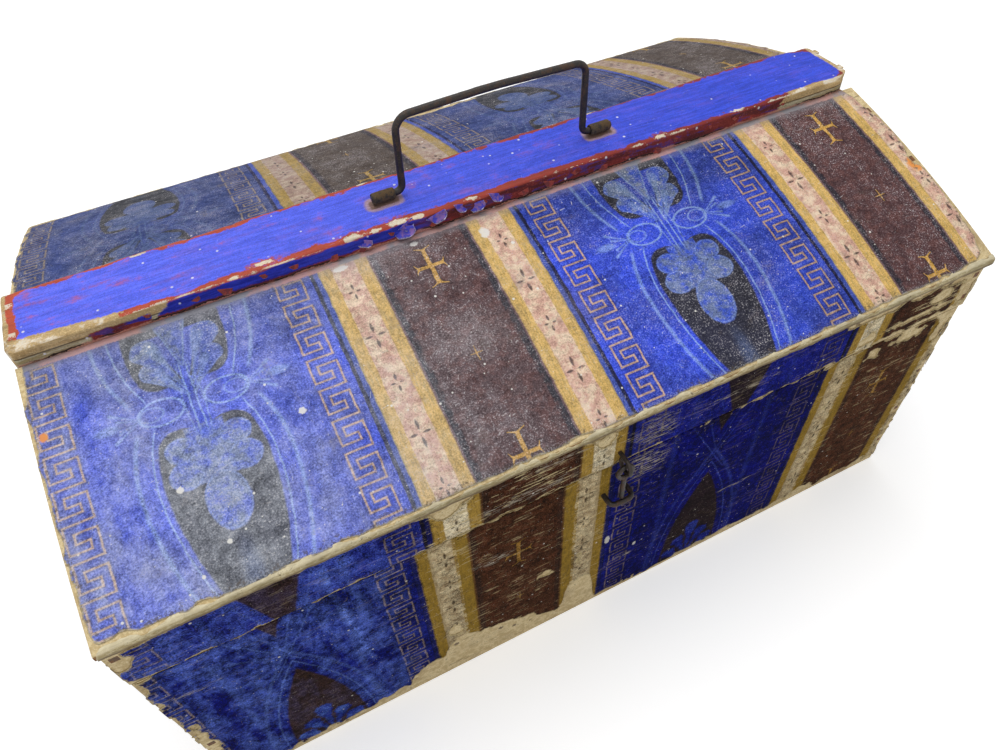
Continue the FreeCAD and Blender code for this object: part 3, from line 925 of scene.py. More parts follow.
def surface(recipe, shader, colour, rough, height, depth_mm, metal=0.0, level=0.5):
    """Colour, roughness and relief onto the shader; the height is 0 to 1 over depth_mm."""
    recipe.feed(shader.inputs["Base Color"], colour)
    recipe.feed(shader.inputs["Roughness"], rough)
    shader.inputs["Metallic"].default_value = metal
    shader.inputs["Specular IOR Level"].default_value = level
    bump = recipe.node("ShaderNodeBump", {"Height": height, "Strength": 1.0, "Distance": depth_mm * MM})
    recipe.tree.links.new(bump.outputs[0], shader.inputs["Normal"])


def group(name, wanted, given):
    """A node group: wanted and given are the names of its numbers in and out."""
    tree = bpy.data.node_groups.new(name, "ShaderNodeTree")
    for label in wanted:
        tree.interface.new_socket(label, in_out="INPUT", socket_type="NodeSocketFloat")
    for label in given:
        tree.interface.new_socket(label, in_out="OUTPUT", socket_type="NodeSocketFloat")
    recipe = Recipe(tree)
    start = tree.nodes.new("NodeGroupInput")
    end = tree.nodes.new("NodeGroupOutput")
    return tree, recipe, [Value(recipe, start.outputs[k]) for k in range(len(wanted))], end


def use(recipe, tree, *values):
    made = recipe.node("ShaderNodeGroup", node_tree=tree)
    for k, value in enumerate(values):
        recipe.feed(made.inputs[k], value)
    return [Value(recipe, out) for out in made.outputs]


# The block-printed pattern. Lengths are in millimetres on the paper. Its columns are
# mirrored about the middle of each medallion and about the middle of each dark band.

key_pitch = 15.27
key_width = 12.06
key_line = 0.44


def key_strokes():
    """Distance from the line of one square meander, from the place in its column."""
    tree, r, (x, y), end = group("meander", ["across", "up"], ["distance"])
    up = key_pitch - r.math("FLOORED_MODULO", y, key_pitch)
    at = r.join(x, up)
    strokes = [(0, 0, key_width, 0), (0, 0, 0, 11.5), (0, 11.5, 8.45, 11.5), (8.45, 7.95, 8.45, 11.5),
               (3.35, 7.95, 8.45, 7.95), (3.35, 3.95, 3.35, 7.95), (3.35, 3.95, key_width, 3.95),
               (key_width, 3.95, key_width, key_pitch), (0, key_pitch, key_width, key_pitch)]
    nearest = None
    for x0, y0, x1, y1 in strokes:
        away = r.vector("ABSOLUTE", r.vector("SUBTRACT", at, ((x0 + x1) / 2, (y0 + y1) / 2, 0)))
        over = r.split(r.vector("SUBTRACT", away, ((x1 - x0) / 2, (y1 - y0) / 2, 0)))
        distance = over[0].either(over[1])
        nearest = nearest.both(distance) if nearest else distance
    r.feed(end.inputs[0], nearest)
    return tree


def oval(r, x, y, cx, cy, wide, high):
    """About the distance outside an oval, in millimetres."""
    reach = r.vector("LENGTH", r.join((x - cx) / wide, (y - cy) / high))
    return (reach - 1.0) * min(wide, high)


def leaf(r, x, y, x0, y0, x1, y1, thin, thick):
    """Distance outside a leaf that swells from (x0, y0) to a round lobe at (x1, y1)."""
    dx, dy = x1 - x0, y1 - y0
    length = dx * dx + dy * dy
    along = (x - x0) * (dx / length) + (y - y0) * (dy / length)
    along = Value(r, r.node("ShaderNodeClamp", {0: along}).outputs[0])
    away = r.vector("LENGTH", r.join(x - x0 - along * dx, y - y0 - along * dy))
    return away - along * along * (thick - thin) - thin


def line_at(distance, half, soft=0.35):
    """1 on a line of that half width."""
    return abs(distance).below(half, soft)


def give(r, end, *values):
    for k, value in enumerate(values):
        r.feed(end.inputs[k], value)


motif_gives = ["ground", "leaves", "lines", "gaps"]


def medallion():
    """The field's ornament on the lid: dark ground, pale leaves and thin curling lines."""
    tree, r, (a, v), end = group("medallion", ["from_axis", "up"], motif_gives)
    w = abs(v - 82.0)
    bow = w - 33.0
    narrow = bow * bow * (bow.below(0.0, 3.0) * 0.0042 + 0.0037)
    side = a + narrow
    ground = (side - 22.0).either(10.0 - w).either(((v - 92.0) * 0.42 + 0.5 - a).both(118.5 - v))
    corner = r.vector("LENGTH", r.join((side - 15.5).either(0.0), (16.0 - w).either(0.0))) - 6.0
    ground = ground.either(corner).either(8.0 - a - (w - 10.0) * 3.0)
    wobble = (r.noise(r.join(a, v), 6.0, 2.0) - 0.5) * 2.0
    high = leaf(r, a, v, 1.6, 90.0, 13.0, 112.6, 0.8, 6.0)
    low = leaf(r, a, v, 1.4, 86.0, 12.6, 101.4, 0.8, 5.0)
    wedge = (a - (v - 99.0) * 0.27).either(100.0 - v)
    upper = high.both(low).both(wedge)
    cheek = oval(r, a, v, 11.2, 62.6, 6.4, 5.6)
    ear = oval(r, a, v, 12.0, 51.6, 6.9, 6.3)
    drop = oval(r, a, v, 0.0, 36.2, 8.8, 12.7)
    heart = (a - 8.0).either(abs(v - 58.5) - 12.5)
    leaves = upper.both(cheek.both(ear)).both(drop).both(heart) + wobble * 0.5
    slant = (v - 100.0).either(-8.0) * 0.1
    lines = line_at(side - slant - 24.6, 0.35)
    lines = lines.either(line_at(side - slant - 31.4, 0.8, 0.8) * 0.75)
    lines = lines * w.above(7.0, 2.0)
    lines = lines.either(line_at(oval(r, a, v, 13.6, 82.2, 9.2, 5.9), 0.4))
    lines = lines.either(line_at(oval(r, a, v, 17.5, 82.4, 4.6, 3.2), 0.3) * 0.7)
    lines = lines.either(oval(r, a, v, 35.5, 82.2, 5.0, 2.0).below(0.0, 0.8) * 0.6)
    fan = leaf(r, a, w, 23.0, 0.5, 33.0, 6.5, 0.2, 0.8).both(leaf(r, a, w, 23.0, 0.0, 31.0, 2.8, 0.2, 0.6))
    lines = lines.either(fan.below(0.0, 0.5) * 0.75)
    stems = line_at(a - 1.5, 0.35).either(line_at(a - 4.4 + w * 0.09, 0.3) * 0.7)
    lines = lines.either(stems * abs(v - 85.0).below(17.0, 3.0))
    veins = leaf(r, a, v, 1.4, 90.0, 9.4, 112.6, 0.2, 2.9).below(0.0, 0.7)
    veins = veins.either(leaf(r, a, v, 1.4, 85.0, 9.6, 100.6, 0.2, 2.2).below(0.0, 0.6))
    lines = lines.either(veins * 0.5)
    for petal in (high, low, cheek, ear, drop):
        lines = lines.either(line_at(petal + 0.4, 0.3, 0.3) * 0.4)
    lines = lines.either(line_at(wedge, 0.4, 0.3) * (v - 100.0).above(0.0, 1.0) * 0.7)
    lines = lines.either(oval(r, a, v, 0.0, 3.0, 3.4, 13.0).below(0.0, 2.5) * 0.22)
    gaps = line_at(high, 0.5, 0.5).either(line_at(low, 0.5, 0.5)).either(line_at(ear, 0.5, 0.8) * 0.7)
    gaps = gaps.either(line_at(drop, 0.5, 0.8) * 0.7)
    give(r, end, ground.below(0.0, 0.6), leaves.below(0.0, 0.5), lines, gaps)
    return tree


def pointed_arch():
    """The field's ornament on the box: a pointed dark arch with flame leaves at its foot."""
    tree, r, (a, z), end = group("pointed_arch", ["from_axis", "up"], motif_gives)
    rise = z.either(0.0) / 96.0
    arch = (a - (1.0 - r.math("POWER", rise, 2.2)) * 20.5) * 0.85
    spear = (a - (z - 133.0) * 0.30) * 0.95
    tip = leaf(r, a, z, 0.0, 5.0, 0.0, 36.0, 1.0, 5.0)
    inner = leaf(r, a, z, 1.0, 2.0, 8.6, 24.0, 0.8, 4.6)
    outer = leaf(r, a, z, 2.0, -2.0, 14.0, 12.0, 0.8, 5.0)
    leaves = tip.both(inner).both(outer) + (r.noise(r.join(a, z), 4.0, 5.0, 0.7) - 0.5) * 8.0
    lines = line_at(arch - 4.0, 0.4).either(line_at(arch - 9.5, 0.9, 0.8) * 0.7)
    crossing = line_at(a - abs(z - 112.0) * 0.55, 0.45) * abs(z - 122.0).below(26.0, 4.0)
    lines = lines.either(crossing * 0.8)
    lines = lines.either(line_at(spear - 4.5, 0.4) * 0.6)
    lines = lines.either(line_at(a - 29.0, 1.6, 1.4) * 0.4)
    lines = lines.either(leaf(r, a, z, 8.0, 118.0, 22.0, 128.0, 0.4, 1.6).below(0.0, 0.6) * 0.5)
    gaps = line_at(tip, 0.6, 0.4).either(line_at(inner, 0.6, 0.4))
    ground = arch.below(0.0, 0.7).either(spear.below(0.0, 0.7))
    give(r, end, ground, leaves.below(0.0, 0.6), lines, gaps)
    return tree


def flower(r, x, y, large):
    """Four dark pointed petals round an empty middle; large is 1 or 0."""
    tall_off, tall, slim = 2.9 + 1.3 * large, 1.7 + 0.9 * large, 0.62 + 0.2 * large
    side_off, side_long, side_slim = 2.0 + large, 1.1 + 0.8 * large, 0.5 + 0.12 * large
    along = (abs(y) - tall_off) / tall
    across = (abs(x) - side_off) / side_long
    upright = abs(x) / slim + along * along
    level = abs(y) / side_slim + across * across
    return (upright.both(level) - 1.0) * 0.6


def cross(r, x, y, tall, wide, bar, curl):
    """Distance outside an upright cross whose arms end in small curled feet."""
    ax, ay = abs(x), abs(y)
    foot = (ay - (tall - 2.1)).either(0.0).both(2.0)
    hand = (ax - (wide - 1.7)).either(0.0).both(1.6)
    post = (ax - foot * foot * curl - bar).either(ay - (tall - 0.9) - ax * 0.32)
    arm = (ay - hand * hand * curl - bar * 0.85).either(ax - (wide - 0.7) - ay * 0.32)
    return post.both(arm)


def band_ornaments():
    """Flowers on the pale stripes and crosses on the dark band."""
    tree, r, (t, v), end = group("flowers_and_crosses", ["from_axis", "up"], ["flowers", "crosses", "relief"])
    row = r.math("FLOORED_MODULO", v + 6.75, 50.3)
    small = flower(r, t - 80.2, row - 12.55, 0.0)
    large = flower(r, t - 80.2, row - 37.7, 1.0)
    big = r.math("FLOORED_MODULO", v + 45.5, 101.0) - 50.5
    crosses = cross(r, t - 118.0, big, 11.4, 7.4, 1.05, 0.78)
    little = abs(t - 118.0) - 0.32 + abs(v - 55.7) * 0.04
    little = little.either(abs(v - 55.7) - 3.9)
    beam = (abs(v - 55.7) - 0.28 + abs(t - 118.0) * 0.05).either(abs(t - 118.0) - 3.0)
    crosses = crosses.both(little).both(beam)
    give(r, end, small.both(large).below(0.0, 0.3), crosses.below(0.0, 0.28), (crosses - 0.5).below(0.2, 0.5))
    return tree


meander = key_strokes()
lid_medallion = medallion()
box_arch = pointed_arch()
band = band_ornaments()
mirror_half = 118.0
lid_stripes = [(64.0, "field"), (65.9, "thin_line"), (68.3, "edge_blue"), (68.9, "gold_edge"), (74.3, "gold"),
               (86.0, "pale"), (92.0, "gold"), (93.2, "edge_pale"), (96.2, "edge_grey"), (mirror_half, "band")]
box_stripes = [(at - 1.7 if at < 90 else at, tone) for at, tone in lid_stripes]


def stripes(r, t, tones, ends):
    """The blue field and the upright stripes beside it, from the axis outwards."""
    ramp = r.node("ShaderNodeValToRGB", {0: t / mirror_half})
    marks = ramp.color_ramp.elements
    start = 0.0
    while len(marks) < 2 * len(ends):
        marks.new(0.5)
    for k, (stop, tone) in enumerate(ends):
        for mark, at in ((marks[2 * k], start), (marks[2 * k + 1], stop)):
            mark.position = min(1.0, at / mirror_half)
            mark.color = ink(tones[tone])
        start = stop + 0.35
    return Value(r, ramp.outputs[0])


def printed(r, u, v, axis, tones, motif, ends, key_share, line_share):
    """Colour of the print where it is whole; u and v in millimetres."""
    at = r.join(u, v)
    slip = (r.noise(at, 7.0, 4.0) - 0.5) * 1.5
    turn = 2 * mirror_half
    d = r.math("FLOORED_MODULO", u - (axis - mirror_half) + slip, turn) - mirror_half
    t = abs(d)
    colour = stripes(r, t, tones, ends)
    broad = r.noise(at, 30.0, 3.0)
    middle = r.noise(at, 3.2, 5.0, 0.68)
    field = t.below(64.0, 0.4)
    sky = r.blend(broad.above(0.5, 0.12), tones["field"], tones["field_deep"])
    sky = r.blend(middle.above(0.56, 0.12) * 0.6, sky, tones["field_light"])
    colour = r.blend(field, colour, sky)
    gold = abs(t - 80.2).below(11.9, 0.3) - abs(t - 80.2).below(5.9, 0.3)
    thread = r.noise(r.join(u, v * 0.22), 1.3, 4.0, 0.7)
    colour = r.blend(gold * thread.above(0.54, 0.08) * 0.55, colour, tones["gold_edge"])
    pale = abs(t - 80.2).below(5.9, 0.3)
    bloom = r.noise(at, 5.5, 5.0, 0.7)
    colour = r.blend(pale * bloom.above(0.52, 0.07) * 0.65, colour, tones["pale_light"])
    colour = r.blend(pale * bloom.below(0.44, 0.07) * 0.6, colour, tones["pale_dark"])
    ground, leaves, lines, gaps = use(r, motif, t, v)
    bare = r.noise(at, 1.5, 3.0, 0.6)
    colour = r.blend(ground * field * 0.96, colour, tones["ground"])
    leaf_tone = r.blend((bloom * 0.6 + broad * 0.4).above(0.5, 0.07), tones["leaf"], tones["leaf_light"])
    colour = r.blend(leaves * field, colour, leaf_tone)
    colour = r.blend(gaps * leaves * 0.45, colour, tones["field_deep"])
    colour = r.blend(lines * bare.above(0.32, 0.16) * field * line_share, colour, tones["line"])
    column = d + 60.3 - d.above(0.0, 0.01) * (60.3 + 48.1)
    key, = use(r, meander, column, v - 4.2 + slip * 0.4)
    in_column = abs(t - 54.2).below(8.0, 0.2)
    colour = r.blend(key.below(key_line + 0.8, 0.5) * in_column * 0.3, colour, tones["thin_line"])
    key_ink = key.below(key_line, 0.26) * in_column * bare.above(0.34, 0.12)
    colour = r.blend(key_ink * key_share, colour, tones["key"])
    flowers, crosses, relief = use(r, band, t, v)
    colour = r.blend(flowers * bare.above(0.36, 0.1) * 0.85, colour, tones["petal"])
    warm = t.above(95.0, 2.0) * bloom.above(0.52, 0.06) * 0.55
    colour = r.blend(warm * (1.0 - crosses), colour, tones["band_warm"])
    colour = r.blend(relief * 0.5, colour, tones["petal"])
    colour = r.blend(crosses * bare.above(0.36, 0.12), colour, tones["cross"])
    dark = (ground * field).either(t.above(93.0, 1.0))
    return colour, dark, t


def scratches(r, u, v, angle, size, length, edge):
    """Short straight hair scratches, all along one angle in degrees."""
    c, s = math.cos(math.radians(angle)), math.sin(math.radians(angle))
    at = r.join((u * c + v * s) / length, v * c - u * s)
    return r.noise(at, size, 2.0, 0.5).above(edge, 0.012)


def near_blobs(r, u, v, fine, blobs, ragged=0.8, soft=0.12):
    """1 inside any of the ragged ovals (x, up, half width, half height)."""
    inside = None
    for x, y, wide, high in blobs:
        reach = r.vector("LENGTH", r.join((u - x) / wide, (v - y) / high))
        spot = (reach + (fine - 0.5) * ragged).below(1.0, soft)
        inside = inside.either(spot) if inside else spot
    return inside


def aged_print(name, axis, tones, motif, ends, haze, rub=0.3, dark=0.3, key_share=0.9, flecks=0.5,
               contrast=1.0, blobs=(), dabs=(), scuffs=(), hem=0.0, torn=1.5, streaks=0.0, shine=0.07, fading=None,
               line_share=0.85, right_shift=0.0, clear_ground=0.0, lone=(), streak_at=0.585, patchy=1.0, bare_field=0.0):
    """Block-printed paper with its wear: rubbed ink, dust, paint spots and torn rims.
    haze(r, u, v) is the share of pale bloom, which on the lid's front is partly dust and partly a painted glare of
    the sky; hem is the width of paste along its top;
    torn is how far the ink is gone inside a torn rim."""
    look, r, shader = new_look(name)
    u, v, _ = r.print_mm()
    u = u + 225.0
    at = r.join(u, v)
    seen_u = u + u.above(430.0, 3.0) * right_shift
    colour, inked, t = printed(r, seen_u, v, axis, tones, motif, ends, key_share, line_share)
    cloud = r.noise(at, 26.0, 5.0, 0.62)
    middle = r.noise(at, 7.0, 5.0, 0.68)
    grain = r.noise(at, 2.3, 4.0, 0.7)
    fine = r.noise(at, 0.8, 3.0, 0.72)
    mottle = (fine - 0.5) * 2.1 + (grain - 0.5) * 1.0 + (middle - 0.5) * 1.1 + (cloud - 0.5) * 0.7
    if fading:
        deeper = r.blend(fading(r, u, v), (255, 255, 255), tones["deeper"])
        colour = r.blend(t.below(66.0, 1.0), colour, r.blend(1.0, colour, deeper, "MULTIPLY"))
    gilt = abs(t - 80.2).below(12.5, 0.5) - abs(t - 80.2).below(5.9, 0.5)
    calm = 1.0 - abs(t - 80.2).below(12.5, 0.5) * 0.3 - gilt * bare_field * 0.4
    wiped = r.noise(r.join(u, v * 0.3), 8.0, 4.0, 0.65)
    bloom = (middle * 1.3 + grain * 0.5 + cloud * 2.1 + wiped * 2.4 - 2.6) * patchy + (1.0 - patchy) * 0.55
    bloom = bloom.either(0.0).both(1.2)
    clear = 1.0 - inked * clear_ground
    # Pale haze: on the lid's front partly dust, partly a painted glare of the sky.
    colour = r.blend(haze(r, u, v) * bloom * clear, colour, tones["haze"])
    for x, y, wide, high, share in lone:
        reach = r.vector("LENGTH", r.join((u - x) / wide, (v - y) / high)) + (middle - 0.5) * 2.4
        colour = r.blend(reach.below(0.75, 0.7) * share * (bloom * 0.5 + fine * 0.5), colour, tones["dust"])
    colour = r.blend(1.0, colour, mottle * contrast * calm + 1.0, "MULTIPLY")
    worn = (cloud * 0.3 + middle * 0.2 + fine * 0.5).above(0.585 - 0.06 * rub, 0.03) * (0.2 + 0.6 * rub)
    colour = r.blend(worn * (t.above(66.0, 1.0) * bare_field + 1.0 - bare_field), colour, tones["rubbed"])
    if scuffs:
        ragged = near_blobs(r, u, v, middle, scuffs, 2.5, 0.5)
        level = r.noise(r.join(u * 0.15, v), 1.1, 3.0, 0.7)
        colour = r.blend(ragged * level.above(0.54, 0.03) * 0.85, colour, tones["rubbed_light"])
    patch = (cloud * 0.5 + middle * 0.5).above(0.49, 0.07)
    salt = (fine * 0.7 + grain * 0.3).above(0.575, 0.035) * (patch * 0.85 + 0.15) * flecks
    salt = salt * (inked * 0.6 + 0.25 - bare_field * 0.2)
    colour = r.blend(salt, colour, tones["fleck"])
    if streaks:
        level = r.noise(r.join(u * 0.1, v), 1.5, 4.0, 0.7)
        bare = (level * 0.6 + cloud * 0.25 + middle * 0.15).above(streak_at, 0.012)
        colour = r.blend(bare * streaks * (t.above(66.0, 2.0) * 0.85 + 0.15), colour, tones["paper"])
    hair = scratches(r, u, v, 8, 0.75, 9.0, 0.73).either(scratches(r, u, v, 72, 0.8, 7.0, 0.735))
    hair = hair.either(scratches(r, u, v, 128, 0.7, 6.0, 0.74))
    colour = r.blend(hair * 0.6, colour, tones["fleck"])
    near, number = r.dots(at, 6.5)
    speck = (near - number * number * 0.07).below(0.028, 0.02) * number.above(0.35, 0.02)
    blister = abs(near - 0.2 - number * 0.14).below(0.03, 0.03) * number.below(0.5, 0.1)
    colour = r.blend(blister * 0.22, colour, tones["ground"])
    near, number = r.dots(at, 2.1)
    speck = speck.either((near - number * 0.08).below(0.04, 0.04) * number.above(0.6, 0.02) * patch)
    if dabs:
        colour = r.blend(near_blobs(r, u, v, grain, dabs, 1.6, 0.3) * 0.9, colour, tones["dab"])
    if blobs:
        speck = speck.either(near_blobs(r, u, v, fine * 0.6 + grain * 0.4, blobs, 2.2))
    colour = r.blend(speck * 0.85, colour, tones["speck"])
    dirt = (r.noise(at, 13.0, 5.0, 0.72) * 0.8 + fine * 0.2).above(0.6, 0.04) * dark
    colour = r.blend(dirt, colour, tones["dirt"])
    ragged = (r.noise(at, 4.2, 5.0, 0.74) - 0.5) * 4.5 * torn + (fine - 0.5) * 2.2
    rim = r.stored("rim") * 1000.0 + ragged
    stain = r.blend(grain.above(0.53, 0.06) * 0.6, tones["paper"], tones["paper_dark"])
    stain = r.blend(fine.below(0.4, 0.04) * 0.5, stain, tones["dirt"])
    colour = r.blend(rim.below(torn + 3.0, 1.5) * grain.above(0.56, 0.03) * 0.7, colour, tones["dirt"])
    colour = r.blend(rim.below(torn, 0.25) * 0.95, colour, stain)
    if hem:
        frost = (v + (grain - 0.5) * 12.0).below(2.2, 1.6) * (fine * 0.5 + grain * 0.5).above(0.49, 0.04)
        colour = r.blend(frost * 0.7, colour, tones["frost"])
        top = v + ragged * 0.8
        smear = r.blend(cloud.above(0.5, 0.08), tones["hem"], tones["hem_grey"])
        colour = r.blend((top + middle * 6.0).above(126.8 - hem * 1.3, 2.0) * 0.3, colour, tones["hem_grey"])
        colour = r.blend(top.above(125.8 - hem, 0.4) * 0.85, colour, smear)
    relief = fine * 0.35 + grain * 0.45 + speck * 0.3 + blister * 0.3 - rim.below(torn, 0.4) * 0.35
    surface(r, shader, colour, 0.6 + fine * 0.3, relief, 0.16, level=shine)
    return look


lid_tones = {
    "field": (60, 84, 226), "field_deep": (56, 72, 178), "field_light": (92, 116, 232),
    "thin_line": (36, 38, 76), "edge_blue": (66, 84, 168), "gold": (216, 178, 104), "gold_edge": (164, 144, 96),
    "pale": (214, 174, 152), "pale_light": (234, 216, 186), "pale_dark": (190, 144, 132),
    "edge_pale": (112, 88, 92), "edge_grey": (56, 52, 60), "band": (88, 64, 66), "ground": (56, 55, 58),
    "leaf": (66, 94, 216), "leaf_light": (116, 132, 178), "line": (138, 166, 232), "key": (204, 168, 136),
    "petal": (58, 44, 46), "cross": (204, 158, 78), "shadow": (112, 108, 116), "paper": (206, 190, 152),
    "paper_dark": (150, 132, 96), "rubbed": (160, 152, 158), "rubbed_light": (200, 196, 200), "fleck": (206, 204, 206), "haze": (192, 198, 206),
    "speck": (234, 232, 226), "dirt": (84, 74, 66), "band_warm": (112, 74, 70), "dab": (236, 152, 70),
    "deeper": (216, 214, 196), "frost": (204, 204, 206), "dust": (158, 148, 150), "hem": (206, 160, 152), "hem_grey": (150, 150, 156)}
back_tones = dict(
    lid_tones, field=(62, 76, 134), field_deep=(46, 58, 108), field_light=(88, 102, 150), band_warm=(96, 84, 76),
    haze=(150, 152, 156),
    gold=(170, 142, 84), gold_edge=(128, 116, 82), pale=(168, 142, 128), pale_light=(186, 170, 150),
    pale_dark=(146, 120, 112), band=(84, 74, 70), ground=(46, 46, 50), leaf=(66, 82, 134),
    leaf_light=(84, 98, 138), line=(98, 118, 156), key=(156, 138, 112), cross=(170, 138, 76))
base_tones = dict(
    lid_tones, field=(8, 14, 104), field_deep=(4, 8, 72), field_light=(28, 44, 150), thin_line=(8, 8, 34), band_warm=(88, 48, 30),
    edge_blue=(22, 26, 84), gold=(148, 118, 46), gold_edge=(112, 90, 44), pale=(178, 158, 122),
    pale_light=(206, 190, 154), pale_dark=(136, 112, 82), edge_pale=(92, 62, 34), edge_grey=(54, 34, 24),
    band=(66, 38, 21), ground=(50, 32, 18), leaf=(24, 40, 130), leaf_light=(62, 88, 164), line=(84, 106, 170),
    key=(136, 118, 104), petal=(58, 42, 28), cross=(144, 106, 46), paper=(200, 182, 138),
    paper_dark=(146, 122, 84), rubbed=(96, 84, 74), rubbed_light=(168, 158, 142),
    fleck=(140, 130, 118), haze=(98, 124, 210),
    speck=(214, 210, 200), dirt=(42, 34, 30), deeper=(166, 166, 222))
rail_tones = dict(
    base_tones, field=(34, 44, 140), field_deep=(22, 28, 112), field_light=(62, 82, 180), gold=(176, 142, 66),
    pale=(222, 206, 170), pale_light=(234, 222, 192), pale_dark=(182, 158, 122), band=(60, 33, 18))
end_tones = dict(base_tones, field=(26, 34, 118), field_light=(52, 66, 150))


def no_haze(r, u, v):
    return u * 0.0


# Where the lid's front is hazed, strongest at the lower left: partly dust, partly a painted glare of the sky.
def lid_dust_and_glare(r, u, v):
    return r.step(u, 140.0, 125.0) * (v * -0.0024 + 0.7)


def back_haze(r, u, v):
    return r.step(u, 120.0, 110.0) * 0.12 + 0.06


def lid_fading(r, u, v):
    return u.above(300.0, 45.0) * 0.6 + v.above(98.0, 12.0) * 0.8


def base_fading(r, u, v):
    return u.above(232.0, 25.0)


def base_haze(r, u, v):
    soft_line = line_at(u - 84.0 - abs(v - 150.0) * 0.06, 1.2, 2.0) * v.above(70.0, 10.0) * 0.5
    return (r.step(u, 108.0, 16.0) * 0.34 + soft_line).both(0.8)


lid_print = aged_print(
    "lid_front_block_print", 62.2, lid_tones, lid_medallion, lid_stripes, lid_dust_and_glare, rub=0.3, dark=0.3, hem=2.6,
    torn=0.5, flecks=0.75, contrast=1.3, fading=lid_fading, right_shift=5.5, patchy=0.5, line_share=1.0,
    lone=[(184, 64, 24, 12, 0.45), (160, 118, 26, 7, 0.5), (430, 121, 12, 5, 0.5), (236, 60, 12, 14, 0.35)],
    dabs=[(449, 66, 4.0, 5.0), (4, 90, 1.6, 2.0)],
    blobs=[(101, 60, 1.6, 1.5), (46, 47, 1.4, 1.4), (57, 20, 1.1, 1.0), (44, 11, 0.8, 0.8),
           (212, 114, 2.4, 3.2), (141, 121, 3.5, 1.5), (178, 121, 2.0, 1.2), (222, 103, 0.9, 0.9)])
lid_back_look = aged_print("lid_back_block_print", 62.2, back_tones, lid_medallion, lid_stripes, back_haze,
                           rub=0.5, dark=0.35, key_share=0.7, hem=2.0,
                           torn=0.7, contrast=1.2, flecks=0.3, line_share=0.5)
rail_print = aged_print(
    "lid_rail_block_print", 63.5, rail_tones, box_arch, lid_stripes, base_haze, rub=0.3, fading=base_fading, dark=0.3,
    key_share=0.75, contrast=2.4, streaks=0.95, streak_at=0.562, patchy=1.5, bare_field=0.8, shine=0.03, flecks=0.5, torn=0.7, clear_ground=0.85,
    right_shift=3.0, line_share=0.6, scuffs=[(248, 162, 12, 9), (300, 163, 18, 1.5), (180, 156, 26, 3), (190, 172, 20, 2)])
base_print = aged_print(
    "box_block_print", 55.5, base_tones, box_arch, box_stripes, base_haze, rub=0.1, fading=base_fading, dark=0.4, key_share=0.8,
    contrast=2.6, streaks=0.55, streak_at=0.575, patchy=1.6, bare_field=0.9, shine=0.03, flecks=0.4, torn=0.8, clear_ground=0.85, line_share=0.6,
    scuffs=[(246, 136, 12, 10), (17, 120, 9, 1.6), (318, 64, 14, 1.2), (160, 110, 10, 3), (240, 42, 8, 2)],
    blobs=[(248, 51, 1.2, 1.8), (228, 72, 1.6, 4.0)])
end_print = aged_print("end_block_print", 225.0, end_tones, box_arch, box_stripes, back_haze, rub=0.5, dark=0.45,
                       key_share=0.5, contrast=1.4, streaks=0.4, shine=0.035)


# Boards: old pine inside, dried paste and the paper's backing on the faces that were covered

def object_normal(r):
    made = r.node("ShaderNodeTexCoord")
    return r.split(Value(r, made.outputs["Normal"]))


def board_look(name, grain, outward, warm=0.0):
    """grain is the axis of the fibres, 0 to 2; outward is (axis, sign) of the papered face,
    or None where every upright face was papered."""
    look, r, shader = new_look(name)
    at = r.object_mm()
    across = [1.0, 1.0, 1.0]
    across[grain] = 0.06
    along = r.vector("MULTIPLY", at, tuple(across))
    figure = r.noise(along, 7.0, 4.0, 0.6, 1.2)
    fibre = r.noise(along, 0.9, 3.0, 0.65)
    blotch = r.noise(at, 34.0, 4.0, 0.6)
    fine = r.noise(at, 0.7, 4.0, 0.7)
    grain_mm = r.noise(at, 3.4, 5.0, 0.7)
    wood = r.blend(figure.above(0.5, 0.12), (168, 128, 82), (134, 94, 56))
    wood = r.blend(fibre.above(0.55, 0.09) * 0.55, wood, (98, 66, 38))
    wood = r.blend(blotch.above(0.55, 0.1) * 0.45, wood, (110, 88, 64))
    wood = r.blend(fine.above(0.66, 0.05) * 0.25, wood, (190, 166, 130))
    knot, number = r.dots(along, 60.0)
    knot = (knot + (fibre - 0.5) * 0.05).below(0.09, 0.02) * number.above(0.6, 0.02)
    wood = r.blend(knot * 0.8, wood, (66, 42, 24))
    paste = r.blend(grain_mm.above(0.5, 0.09), (226, 206, 160), (196, 172, 124))
    paste = r.blend(blotch.above(0.56, 0.08) * 0.5, paste, (162, 138, 98))
    paste = r.blend(fine.above(0.6, 0.06) * 0.35, paste, (240, 228, 196))
    paste = r.blend((fine * 0.4 + grain_mm * 0.6).below(0.4, 0.035) * 0.75, paste, (110, 84, 56))
    crack = r.noise(along, 2.2, 3.0, 0.6).above(0.655, 0.015)
    paste = r.blend(crack * 0.6, paste, (92, 70, 48))
    near, number = r.dots(at, 9.0)
    remnant = (near + (fine - 0.5) * 0.5).below(0.17, 0.04) * number.above(0.7, 0.02)
    paste = r.blend(remnant * 0.85, paste, (70, 44, 30))
    normal = object_normal(r)
    facing = normal[outward[0]] * outward[1] if outward else 1.0 - abs(normal[2])
    covered = facing.above(0.5, 0.2)
    colour = r.blend(covered * (1.0 - blotch.above(0.66, 0.04) * 0.7), wood, paste)
    relief = fibre * 0.35 + fine * 0.25 + grain_mm * 0.3 - crack * 0.4
    surface(r, shader, colour, 0.62 + fine * 0.25, relief, 0.3, level=0.32)
    return look


